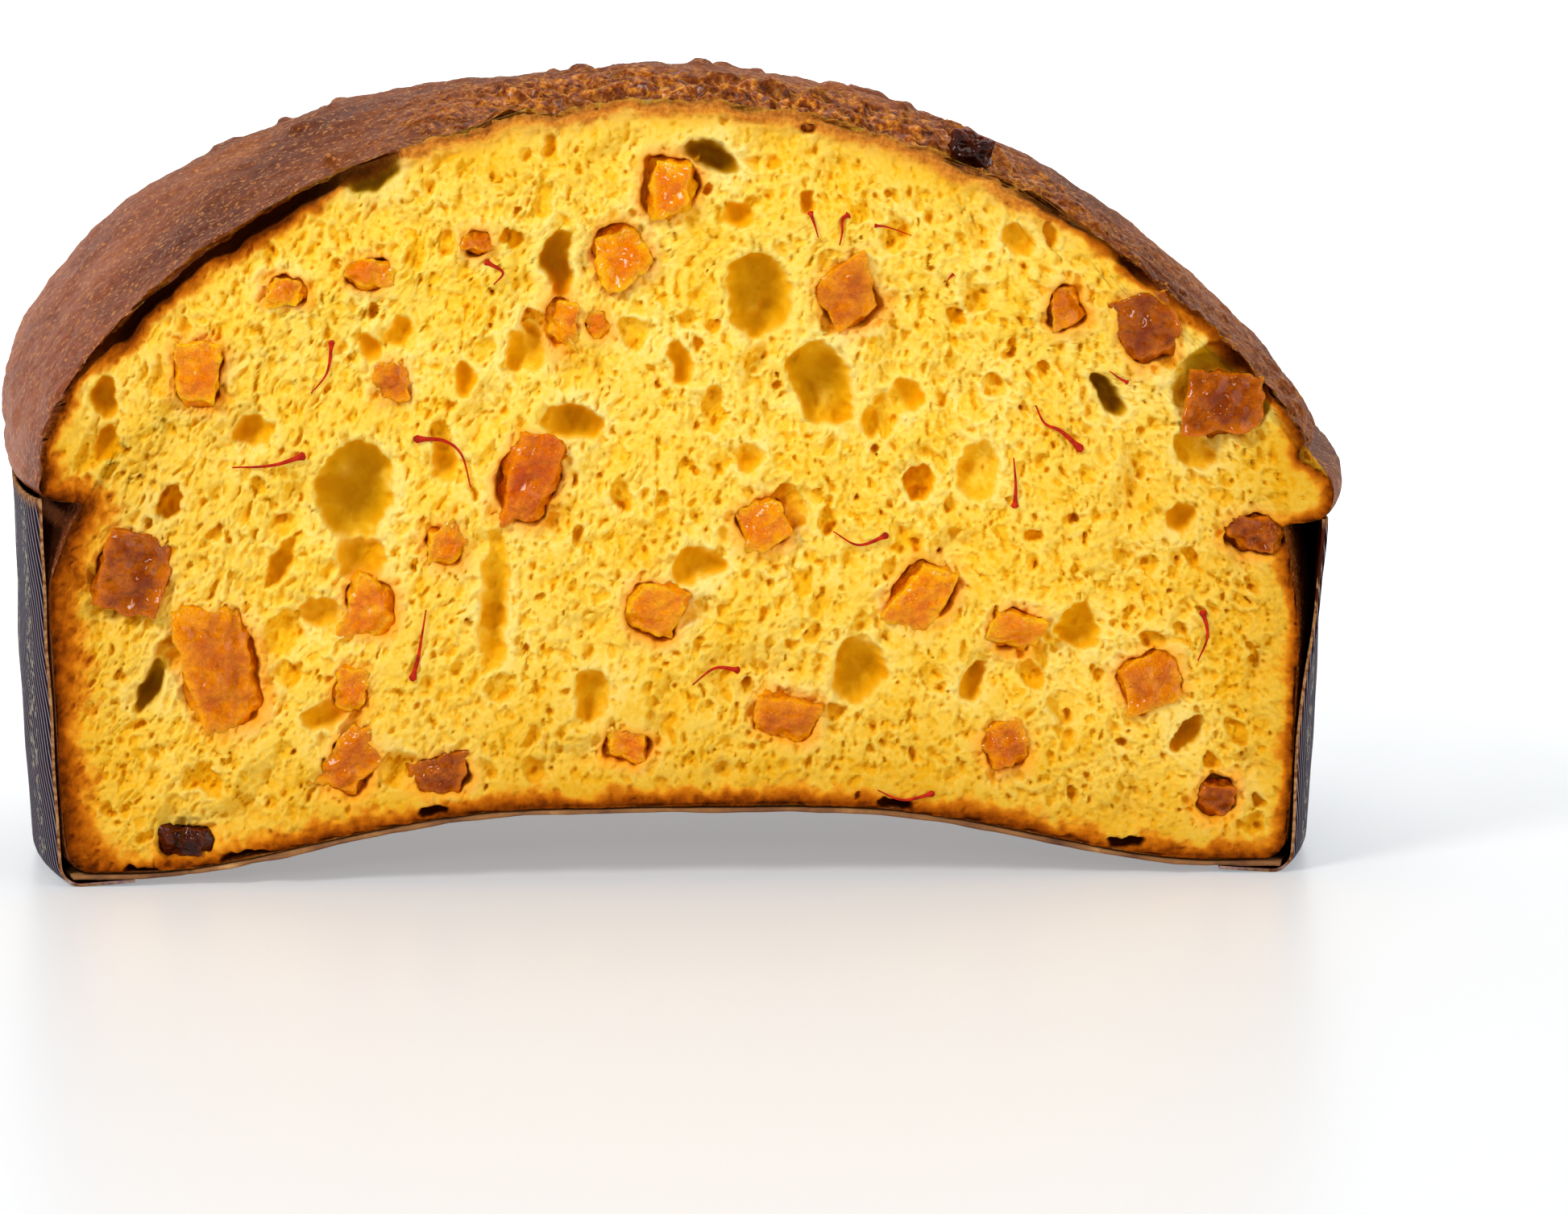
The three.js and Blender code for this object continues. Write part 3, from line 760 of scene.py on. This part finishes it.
class Finish:
    # a material and the nodes in it
    def __init__(self, name):
        self.material = bpy.data.materials.new(name)
        self.material.use_nodes = True
        self.tree = self.material.node_tree
        self.tree.nodes.clear()

    def add(self, kind, settings=None, values=None, out=0):
        node = self.tree.nodes.new(kind)
        for key, value in (settings or {}).items():
            if key == "stops":
                ramp = node.color_ramp
                while len(ramp.elements) < len(value):
                    ramp.elements.new(0.5)
                for element, (place, colour) in zip(ramp.elements, value):
                    element.position, element.color = place, linear(colour)
            else:
                setattr(node, key, value)
        for key, value in (values or {}).items():
            if isinstance(value, Wire):
                self.tree.links.new(value.socket, node.inputs[key])
            else:
                node.inputs[key].default_value = linear(value)
        return Wire(self, node.outputs[out]) if node.outputs else None

    def value(self, name):
        return self.add("ShaderNodeAttribute", {"attribute_name": name}, out=2)

    def mix(self, share, low, high, way="MIX"):
        settings = {"data_type": "RGBA", "blend_type": way}
        return self.add("ShaderNodeMix", settings, {0: share, 6: low, 7: high}, 2)

    def ramp(self, share, stops):
        return self.add("ShaderNodeValToRGB", {"stops": stops}, {0: share})

    def fit(self, share, low, high):
        settings = {"interpolation_type": "SMOOTHSTEP"}
        return self.add("ShaderNodeMapRange", settings, {0: share, 1: low, 2: high})

    def specks(self, size, detail=2.0, roughness=0.5):
        # cloudy noise with lumps of this many millimetres
        at = self.add("ShaderNodeTexCoord", out=3)
        return self.add("ShaderNodeTexNoise", {}, {"Vector": at, "Scale": 1000 / size, "Detail": detail,
                                                   "Roughness": roughness})

    def bump(self, height, distance, strength=1.0, over=None):
        values = {"Height": height, "Distance": distance / 1000, "Strength": strength}
        if over is not None:
            values["Normal"] = over
        return self.add("ShaderNodeBump", {}, values)

    def coat(self, values):
        shader = self.add("ShaderNodeBsdfPrincipled", {}, values)
        self.add("ShaderNodeOutputMaterial", {}, {0: shader})
        return self.material


def linear(value):
    # six hex digits are a colour as it looks on screen, made linear here; anything else is kept
    if not isinstance(value, str):
        return value
    parts = [int(value[k:k + 2], 16) / 255 for k in (0, 2, 4)]
    return (*(p / 12.92 if p <= 0.04045 else ((p + 0.055) / 1.055) ** 2.4 for p in parts), 1.0)


def loafFinish():
    look = Finish("baked_loaf")
    relief, toast, glow, skinMask = (look.value(n) for n in ("relief", "toast", "glow", "skin"))
    cloud = look.specks(9, 3)
    fine = look.specks(0.7, 3, 0.6)
    # painted shade and highlight: deep pores darker amber, ridges pale, with random tone from the noise on
    # top
    height = relief * 0.36 + 0.36 + (fine - 0.5) * 0.42 + (cloud - 0.5) * 0.5
    crumbTone = look.ramp(height, [(0.0, "fde48e"), (0.25, "fbd458"), (0.48, "f7bf24"),
                                   (0.72, "f4ad04"), (1.0, "ee9e00")])
    crumbTone = look.mix(look.value("rind") * 0.8, crumbTone, (0.68, 0.53, 0.16, 1.0), "MULTIPLY")
    # painted shade: the crumb darker inside the big gas cells
    crumbTone = look.mix(look.value("hollow") * 0.75, crumbTone, "cf9e0c")
    crumbTone = look.mix(look.fit(glow, 0.25, 1.0) * 0.7, crumbTone, "f59a08")
    brown = toast + (look.specks(1.6, 3, 0.6) - 0.5) * 0.5 + relief * 0.1
    toasted = look.ramp(brown, [(0.0, "f0a41e"), (0.35, "dd8a18"), (0.6, "b8620c"),
                                (0.8, "8a3f06"), (0.95, "5c2604")])
    crumbTone = look.mix(look.fit(brown, 0.08, 0.5), crumbTone, toasted)
    flakes = look.ramp(fine, [(0.3, "a85a1c"), (0.7, "f0aa48")])
    crumbTone = look.mix(look.value("flaky") * 0.55, crumbTone, flakes)
    # painted shade in the pits and in the split under the crust
    crumbTone = look.mix(look.value("pit"), crumbTone, "3a1202")
    broad = look.specks(24, 3)
    grain = look.specks(1.3, 4, 0.65)
    speck = look.fit(look.specks(0.8, 2, 0.5), 0.56, 0.68)
    shade = broad * 0.7 + grain * 0.6 - 0.15
    brownCrust = look.ramp(shade, [(0.25, "3e1604"), (0.45, "622c08"), (0.6, "804010"),
                                   (0.8, "a05e1e")])
    mauveCrust = look.ramp(shade, [(0.25, "5c2815"), (0.45, "7e4126"), (0.6, "915033"),
                                   (0.8, "a26242")])
    crustTone = look.mix(look.value("mauve"), brownCrust, mauveCrust)
    crustTone = look.mix(speck * 0.55, crustTone, "c98644")
    # painted shade: darker in the wrinkles and the torn crevices
    crustTone = look.mix(look.value("fold") * 0.35, crustTone, "4a2012")
    crustTone = look.mix(look.value("flaky"), crustTone, look.ramp(grain, [
        (0.34, "421602"), (0.5, "96480c"), (0.66, "e2942a")]))
    colour = look.mix(skinMask, crumbTone, crustTone)
    ripple = look.bump(look.specks(0.45, 3, 0.6), 0.12, 0.6)
    ripple = look.bump(look.specks(1.5, 4, 0.65) * skinMask, 0.5, 0.8, ripple)
    shine = look.value("flaky") * 0.25 + look.value("mauve") * 0.1 + 0.18
    return look.coat({
        "Base Color": colour,
        "Roughness": 0.8 - skinMask * 0.36 + (grain - 0.5) * 0.2 - look.value("pit") * 0.45,
        "Normal": ripple,
        "Subsurface Weight": 0.3, "Subsurface Radius": (1.0, 0.6, 0.1), "Subsurface Scale": 0.0016,
        "Specular IOR Level": 0.0, "Coat Weight": skinMask * shine, "Coat Roughness": 0.27,
    })


fruitTints = {
    "orange": ("e87a00", "ffb20c"), "amber": ("ce6600", "f89c04"), "red": ("c24c00", "f08602"),
    "dark": ("8a3600", "cc6c04"), "burnt": ("260903", "5a1f08"),
}


def fruitFinish(tint):
    look = Finish("candied_" + tint)
    low, high = fruitTints[tint]
    cloud = look.specks(3.2, 3, 0.6)
    # painted light: lighter near the edges, as if light came through where the fruit is thin
    colour = look.ramp(cloud - 0.12 + look.value("thin") * 0.3, [(0.3, low), (0.7, high)])
    wet = look.bump(look.specks(1.2, 3, 0.65), 1.0, 1.0)
    wet = look.bump(look.specks(2.8, 2, 0.6), 0.9, 1.4, wet)
    return look.coat({
        "Base Color": colour, "Roughness": 0.1 + cloud * 0.18, "Normal": wet,
        "Subsurface Weight": 0.5, "Subsurface Radius": (1.0, 0.5, 0.05), "Subsurface Scale": 0.0025,
        "Coat Weight": 0.4, "Coat Roughness": 0.07, "Specular IOR Level": 0.0,
    })


def threadFinish():
    look = Finish("saffron")
    colour = look.ramp(look.specks(1.2, 2), [(0.3, "8c0e00"), (0.7, "cf2a02")])
    return look.coat({"Base Color": colour, "Roughness": 0.6, "Specular IOR Level": 0.15})


def paperFinish():
    look = Finish("mould_paper")
    along, up, side = (look.value(n) for n in ("along", "up", "side"))
    rib = look.add("ShaderNodeMath", {"operation": "SINE"}, {0: (along + up * 0.45) * (2 * math.pi / 1.55)})
    line = look.fit(rib, 0.62, 0.96)
    column = look.add("ShaderNodeMath", {"operation": "SINE"}, {0: along * (2 * math.pi / 15)})
    floret = look.fit(look.specks(1.5, 3, 0.75) * look.fit(column, -0.3, 0.5), 0.52, 0.6)
    ink = look.mix(line, "160c13", "9a90a0")
    ink = look.mix(floret * 0.75, ink, "aaa58c")
    ink = look.mix(look.fit(look.specks(14, 2), 0.35, 0.75) * 0.2, ink, "4e383a")
    inner = look.ramp(look.specks(6, 3), [(0.3, "2a0d05"), (0.7, "541f0c")])
    colour = look.mix(look.fit(side, 0.4, 0.6), ink, inner)
    colour = look.mix(look.value("edge"), colour, look.ramp(look.specks(0.8, 2), [
        (0.35, "6c3c20"), (0.65, "b08050")]))
    return look.coat({
        "Base Color": colour, "Roughness": 0.42 + look.specks(3, 2) * 0.2,
        "Normal": look.bump(rib, 0.12, 0.7), "Specular IOR Level": 0.0, "Coat Weight": 0.05,
    })


def baseFinish():
    look = Finish("mould_card")
    cloud = look.specks(7, 4, 0.6)
    colour = look.ramp(cloud, [(0.3, "5c3012"), (0.6, "93602e"), (0.75, "c09058")])
    return look.coat({
        "Base Color": colour, "Roughness": 0.8, "Normal": look.bump(look.specks(0.8, 3), 0.1),
    })


loaf.data.materials.append(loafFinish())
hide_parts("loaf")
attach(loaf, "root")


# Candied fruit

print("cutting the fruit")
candy = {"cuts": 21, "wobble": 0.42, "rough": 0.85, "sunk": 0.9}
fruitMaterials = {tint: fruitFinish(tint) for tint in fruitTints}


def cubeSkin(cuts):
    # a cube's six sides as one welded grid
    line = np.linspace(-1, 1, cuts)
    a, b = np.meshgrid(line, line)
    one = np.ones_like(a)
    sides = [(a, -one, b), (one, a, b), (-a, one, b), (-one, -a, b), (a, b, one), (a, -b, -one)]
    points = np.concatenate([np.stack(s, -1).reshape(-1, 3) for s in sides])
    faces = np.concatenate([gridFaces(cuts, cuts, k * cuts * cuts) for k in range(6)])
    kept, joined = welded(points, 5)
    return points[kept], joined[faces]


cubePoints, cubeFaces = cubeSkin(candy["cuts"])


def makeFruit(k):
    centre, size, turn = fruitPlace(k)
    if abs(centre[1]) < size[1]:  # set back a little so that crumb laps over its edges
        centre[1] += candy["sunk"]
    square = fruitCuts[k][2]
    ball = cubePoints / np.linalg.norm(cubePoints, axis=1)[:, None]
    p = cubePoints * (0.4 + 0.4 * square) + ball * (0.65 - 0.4 * square)
    for corner in itertools.product((-1, 1), repeat=3):  # each corner is pulled somewhere
        near = np.prod((1 + cubePoints * corner) / 2, axis=1)
        p = p + near[:, None] * rng.uniform(-candy["wobble"], candy["wobble"], 3)
    p = p * size / 2
    c, s = math.cos(turn), math.sin(turn)
    p = np.stack([p[:, 0] * c + p[:, 2] * s, p[:, 1], p[:, 2] * c - p[:, 0] * s], axis=-1)
    at = p + centre
    # painted light: the fruit lighter near the edges of its faces, as if light came through where it is
    # thin
    thin = np.sort(np.abs(cubePoints), axis=1)[:, 1] ** 4
    rough = clouds(at, (1, 3.4, k), (0.7, 1.6, k + 0.5), (0.25, 0.8, k + 0.7))
    rough *= candy["rough"] * (1.3 - 0.5 * square)
    p = p + ball * rough[:, None]
    piece = makeMesh(fruitNames[k] + "_wet", p + centre, cubeFaces, {"thin": thin})
    piece.data.materials.append(fruitMaterials[fruitCuts[k][1]])
    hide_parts(fruitNames[k])
    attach(piece, "root")


for k in range(len(fruitNames)):
    makeFruit(k)


# Saffron

print("laying the saffron")
saffron = {"sides": 8, "steps": 26, "thick": 0.8, "thin": 0.3, "tip": 1.7}
# the route of each thread on the cut face, thin end to thick end, and its radius
threadRoutes = [
    ([(-28.6, 94.0), (-27.2, 95.9), (-29.9, 97.6)], 0.45),
    ([(21.6, 101.0), (21.0, 103.1), (20.3, 105.0)], 0.42),
    ([(24.9, 99.8), (25.3, 101.8), (25.4, 103.8), (26.4, 104.6)], 0.5),
    ([(36.1, 101.2), (32.5, 102.5), (30.3, 102.8)], 0.3),
    ([(41.6, 93.8), (42.0, 94.6), (42.7, 95.2)], 0.28),
    ([(-56.9, 77.3), (-54.4, 80.6), (-53.6, 85.5)], 0.42),
    ([(-69.2, 65.8), (-63.0, 66.2), (-57.9, 67.7)], 0.55),
    ([(-32.4, 62.4), (-33.8, 67.6), (-36.6, 69.8), (-41.2, 70.1)], 0.5),
    ([(-39.5, 43.3), (-40.1, 39.8), (-40.8, 35.8), (-41.8, 32.1)], 0.5),
    ([(55.6, 74.6), (57.0, 71.8), (59.6, 70.5), (63.0, 67.4)], 0.55),
    ([(52.2, 66.4), (52.5, 62.3), (52.4, 58.5)], 0.5),
    ([(67.1, 79.9), (68.6, 78.8), (70.1, 78.0)], 0.35),
    ([(2.0, 31.0), (5.5, 33.6), (9.4, 33.2)], 0.5),
    ([(24.0, 55.0), (28.0, 52.9), (32.6, 54.5)], 0.45),
    ([(81.5, 34.0), (82.9, 38.0), (82.1, 42.0)], 0.5),
    ([(31.0, 14.0), (35.0, 12.4), (40.0, 13.4)], 0.42),
]
threadMaterial = threadFinish()


def curveThrough(points, count):
    # a smooth line through the points, with "count" steps
    p = np.asarray(points, float)
    p = np.concatenate([[2 * p[0] - p[1]], p, [2 * p[-1] - p[-2]]])
    spans = len(p) - 3
    at = np.linspace(0, spans - 1e-9, count + 1)
    k = at.astype(int)
    t = (at - k)[:, None]
    a, b, c, d = p[k], p[k + 1], p[k + 2], p[k + 3]
    curve = 2 * b + (c - a) * t + (2 * a - 5 * b + 4 * c - d) * t ** 2 + (3 * b - a - 3 * c + d) * t ** 3
    return 0.5 * curve


def makeThread(k):
    route, radius = threadRoutes[k]
    radius *= saffron["thick"]
    line = curveThrough(route, saffron["steps"])
    share = np.linspace(0, 1, len(line))
    lying = np.minimum(fromMap(surface, line[:, 0], line[:, 1]), 0.6)
    lying = np.convolve(np.pad(lying, 3, "edge"), np.ones(7) / 7, "valid")
    path = np.stack([line[:, 0], lying - radius * 0.8, line[:, 1]], axis=-1)
    path[:, 1] -= 0.25 * np.sin(share * math.pi) * rng.uniform(0.5, 2)
    way = np.gradient(path, axis=0)
    way /= np.linalg.norm(way, axis=1)[:, None]
    side = np.cross(way, (0, 1, 0))
    side /= np.linalg.norm(side, axis=1)[:, None]
    up = np.cross(side, way)
    thick = radius * (saffron["thin"] + (1 - saffron["thin"]) * share ** 1.4)
    thick *= 1 + (saffron["tip"] - 1) * ease(share, 0.86, 0.97)
    thick[-1] *= 0.5
    turn = np.linspace(0, 2 * math.pi, saffron["sides"], endpoint=False)
    tube = path[:, None] + thick[:, None, None] * (
        side[:, None] * np.cos(turn)[None, :, None] + 0.62 * up[:, None] * np.sin(turn)[None, :, None])
    n, m = tube.shape[:2]
    ids = np.arange(n * m).reshape(n, m)
    a, b = ids[:-1], np.roll(ids, -1, axis=1)[:-1]
    c, d = np.roll(ids, -1, axis=1)[1:], ids[1:]
    faces = [np.stack([a, b, c], -1).reshape(-1, 3), np.stack([a, c, d], -1).reshape(-1, 3)]
    ends = np.array([path[0], path[-1]])
    nextSide = np.roll(np.arange(m), -1)
    faces.append(np.stack([np.full(m, n * m), nextSide, np.arange(m)], -1))
    faces.append(np.stack([np.full(m, n * m + 1), ids[-1], ids[-1][nextSide]], -1))
    name = f"saffron_thread_{k + 1:02d}"
    piece = makeMesh(name + "_dried", np.concatenate([tube.reshape(-1, 3), ends]), np.concatenate(faces))
    piece.data.materials.append(threadMaterial)
    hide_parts(name)
    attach(piece, "root")


for k in range(len(threadRoutes)):
    makeThread(k)


# The paper mould

print("folding the paper")
paper = {
    "thick": 0.5, "corner": 3.6, "flange": 9, "columns": 300,
    "dent": 0.45, "pull": 2.4, "fringe": 0.25,
    "lift": 0.6,  # how far the flange is drawn up towards the disc
    "card": 0.6,  # thickness of the disc
}


def mouldWall():
    share = np.linspace(0, 1, paper["columns"] + 1)
    degrees = -cutAngle + (180 + 2 * cutAngle) * share
    rim = around("rim", degrees)
    c, t = paper["corner"], paper["thick"]
    centre = paperRadius(c) - c
    bend = np.radians(np.linspace(90, 0, 8))
    heights = np.linspace(0, 1, 30)[1:]

    def run(inset):
        # from the flange's inner edge round the corner and up to the rim
        level = degrees * 0
        points = [(centre - paper["flange"] + level, inset + paper["lift"] + level)]
        points += [(centre + (c - inset) * math.cos(a) + level, c - (c - inset) * math.sin(a) + level)
                   for a in bend]
        points += [(paperRadius(c + (rim - c) * h) - inset, c + (rim - c) * h) for h in heights]
        return np.array(points)  # step, radius or height, column

    section = np.concatenate([run(0.0), run(t)[::-1]])
    radius, height = section[:, 0], section[:, 1]
    a = np.radians(degrees)[None]
    place = np.stack([100 * np.cos(a) + 0 * radius, 100 * np.sin(a) + 0 * radius, height], axis=-1)
    dent = paper["dent"] * clouds(place, (1, 26, 1.2), (0.4, 9, 3.4)) * ease(height, 4, 20)
    arcFromRight = np.radians(degrees - degrees[0])[None] * wallRadius
    pull = paper["pull"] * (1 - ease(arcFromRight, 0, 12)) * ease(height, 18, 56)
    radius = radius + dent + pull
    points = np.stack([radius * np.cos(a), knife + radius * np.sin(a), height], axis=-1)
    fray = paper["fringe"] * noise(np.stack([height, height * 0, height * 0], -1), 0.9, 2.2)
    for column in (0, -1):  # the cut ends lie in the cut face, a little ragged
        points[:, column, 1] = 0.2 + fray[:, column]
    rows, columns = points.shape[:2]
    closed = np.concatenate([points, points[:1]])
    faces = gridFaces(rows + 1, columns)
    faces = np.where(faces >= rows * columns, faces - rows * columns, faces)
    flatPoints = closed[:-1].reshape(-1, 3)
    half = rows // 2
    caps = []
    capPoints = []
    for column, flip in ((0, False), (-1, True)):  # strips that close the two cut ends
        ring = points[:, column]
        start = len(flatPoints) + sum(len(p) for p in capPoints)
        capPoints.append(ring)
        for k in range(half - 1):
            a0, a1, b0, b1 = start + k, start + k + 1, start + rows - 1 - k, start + rows - 2 - k
            pair = [(a0, b0, b1), (a0, b1, a1)]
            caps += [p[::-1] for p in pair] if flip else pair
    allOf = np.concatenate([flatPoints] + capPoints)
    along = np.broadcast_to(np.radians(degrees)[None] * wallRadius, (rows, columns)).ravel()
    side = np.repeat(np.arange(rows) >= half, columns).astype(float)
    extra = len(allOf) - len(flatPoints)
    edge = np.concatenate([np.zeros(len(flatPoints)), 0.65 + 0.35 * ease(allOf[-extra:, 2], 1, 5)])
    rimRow = np.zeros((rows, columns))
    rimRow[half - 1:half + 1] = 1
    edge[:rows * columns] = rimRow.ravel()
    allFaces = np.concatenate([faces, np.array(caps)])
    piece = makeMesh("mould_wall_paper", allOf, allFaces[:, ::-1], {
        "along": np.concatenate([along, np.zeros(extra)]), "up": allOf[:, 2],
        "side": np.concatenate([side, np.zeros(extra)]), "edge": edge,
    })
    piece.data.materials.append(paperFinish())
    return piece


def mouldBase():
    steps, width = 60, 120
    degrees = np.linspace(0, 1, 2 * steps + 1)
    angle = math.asin(knife / discRadius)
    turn = -angle + (math.pi + 2 * angle) * degrees
    ring = np.stack([discRadius * np.cos(turn), knife + discRadius * np.sin(turn), turn * 0], axis=-1)
    ring[0, 1] = ring[-1, 1] = 0
    sheet = slices(ring, np.linspace(0, 1, width + 1))
    lower = sheet.copy()
    lower[..., 2] = baseLow.z * 1000 + 0.1 + hump(sheet[..., 0], sheet[..., 1])
    lower[..., 2] += 0.12 * noise(sheet, 14, 2.5)
    upper = lower + (0, 0, paper["card"])
    for layer in (lower, upper):  # its cut edge is a little uneven
        layer[0, :, 1] = clouds(sheet[0], (0.9, 4, 1.5), (0.5, 1.3, 2.5)) - 0.1
    rows, columns = lower.shape[:2]
    points = np.concatenate([lower.reshape(-1, 3), upper.reshape(-1, 3)])
    faces = [gridFaces(rows, columns), gridFaces(rows, columns, rows * columns)[:, ::-1]]
    front = np.arange(columns)
    left = np.arange(rows) * columns
    right = left + columns - 1
    for strip in (front[::-1], left, right[::-1]):
        a, b = strip[:-1], strip[1:]
        c, d = b + rows * columns, a + rows * columns
        faces += [np.stack([a, b, c], 1), np.stack([a, c, d], 1)]
    kept, joined = welded(points, 4)
    faces = joined[np.concatenate(faces)]
    whole = wholeFaces(faces)
    piece = makeMesh("mould_base_card", points[kept], faces[whole])
    piece.data.materials.append(baseFinish())
    return piece


for piece, node in ((mouldWall(), "mould_wall"), (mouldBase(), "mould_base")):
    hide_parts(node)
    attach(piece, "root")


# The table, the light and the camera

print("setting the table")


def makeTable():
    # a pale table that curves up into the background
    profile = [(-3000, 0), (1200, 0)] + [(1200 + 900 * math.sin(a), 900 - 900 * math.cos(a))
                                         for a in np.radians(np.arange(6, 91, 6))] + [(2100, 4000)]
    points = [(x, y, z) for y, z in profile for x in (-4000, 4000)]
    faces = [(2 * k, 2 * k + 1, 2 * k + 3, 2 * k + 2) for k in range(len(profile) - 1)]
    table = makeMesh("table", np.array(points, float), np.array(faces))
    look = Finish("pale_table")
    colour = look.ramp(look.specks(400, 2), [(0.3, (0.5, 0.495, 0.49, 1)), (0.7, (0.52, 0.515, 0.51, 1))])
    inward = look.add("ShaderNodeSeparateXYZ", {}, {0: look.add("ShaderNodeTexCoord", out=3)}, 1)
    glow = look.ramp(look.fit(inward, -0.15, 0.5), [
        (0.0, (0.27, 0.285, 0.3, 1)), (1.0, (0.83, 0.85, 0.87, 1))])
    table.data.materials.append(look.coat({
        "Base Color": colour, "Roughness": 0.35, "Specular IOR Level": 0.3,
        "Emission Color": glow, "Emission Strength": 1.0,
    }))


# place, size and power of each lamp; they all point at the loaf
lamps = {
    "window": ((-0.85, -0.85, 0.95), 0.5, 13.2),
    "bounce": ((0.95, -0.9, 0.6), 1.2, 7),
    "top": ((0.0, 0.25, 1.35), 1.0, 6),
    "glint": ((-0.3, -1.4, 0.55), 0.22, 2.2),
}
lampAim = (0, 0, 0.05)


def makeLamp(name):
    place, size, power = lamps[name]
    lamp = bpy.data.lights.new(name, "AREA")
    lamp.shape, lamp.size, lamp.energy = "DISK", size, power
    piece = bpy.data.objects.new(name, lamp)
    piece.location = place
    piece.rotation_mode = "QUATERNION"
    piece.rotation_quaternion = (Vector(lampAim) - Vector(place)).to_track_quat("-Z", "Y")
    bpy.context.scene.collection.objects.link(piece)


makeTable()
for lampName in lamps:
    makeLamp(lampName)

world = bpy.data.worlds.new("room")
world.use_nodes = True
world.node_tree.nodes["Background"].inputs["Color"].default_value = (1, 1, 1, 1)
world.node_tree.nodes["Background"].inputs["Strength"].default_value = 0.22
bpy.context.scene.world = world
bpy.context.scene.view_settings.view_transform = "Standard"

cameraView = {"azimuth": 3.6, "elevation": 8.7, "distance": 900, "aim": (16.3, 0, 43.2), "lens": 132.3}
azimuth, elevation = (math.radians(cameraView[k]) for k in ("azimuth", "elevation"))
level = math.cos(elevation)
back = Vector((-math.sin(azimuth) * level, -math.cos(azimuth) * level, math.sin(elevation)))
camera = bpy.data.objects.new("camera", bpy.data.cameras.new("camera"))
camera.data.lens = cameraView["lens"]
camera.location = Vector(fromCut(cameraView["aim"])) + back * cameraView["distance"] / 1000
camera.rotation_mode = "QUATERNION"
camera.rotation_quaternion = (-back).to_track_quat("-Z", "Y")
bpy.context.scene.collection.objects.link(camera)
bpy.context.scene.camera = camera
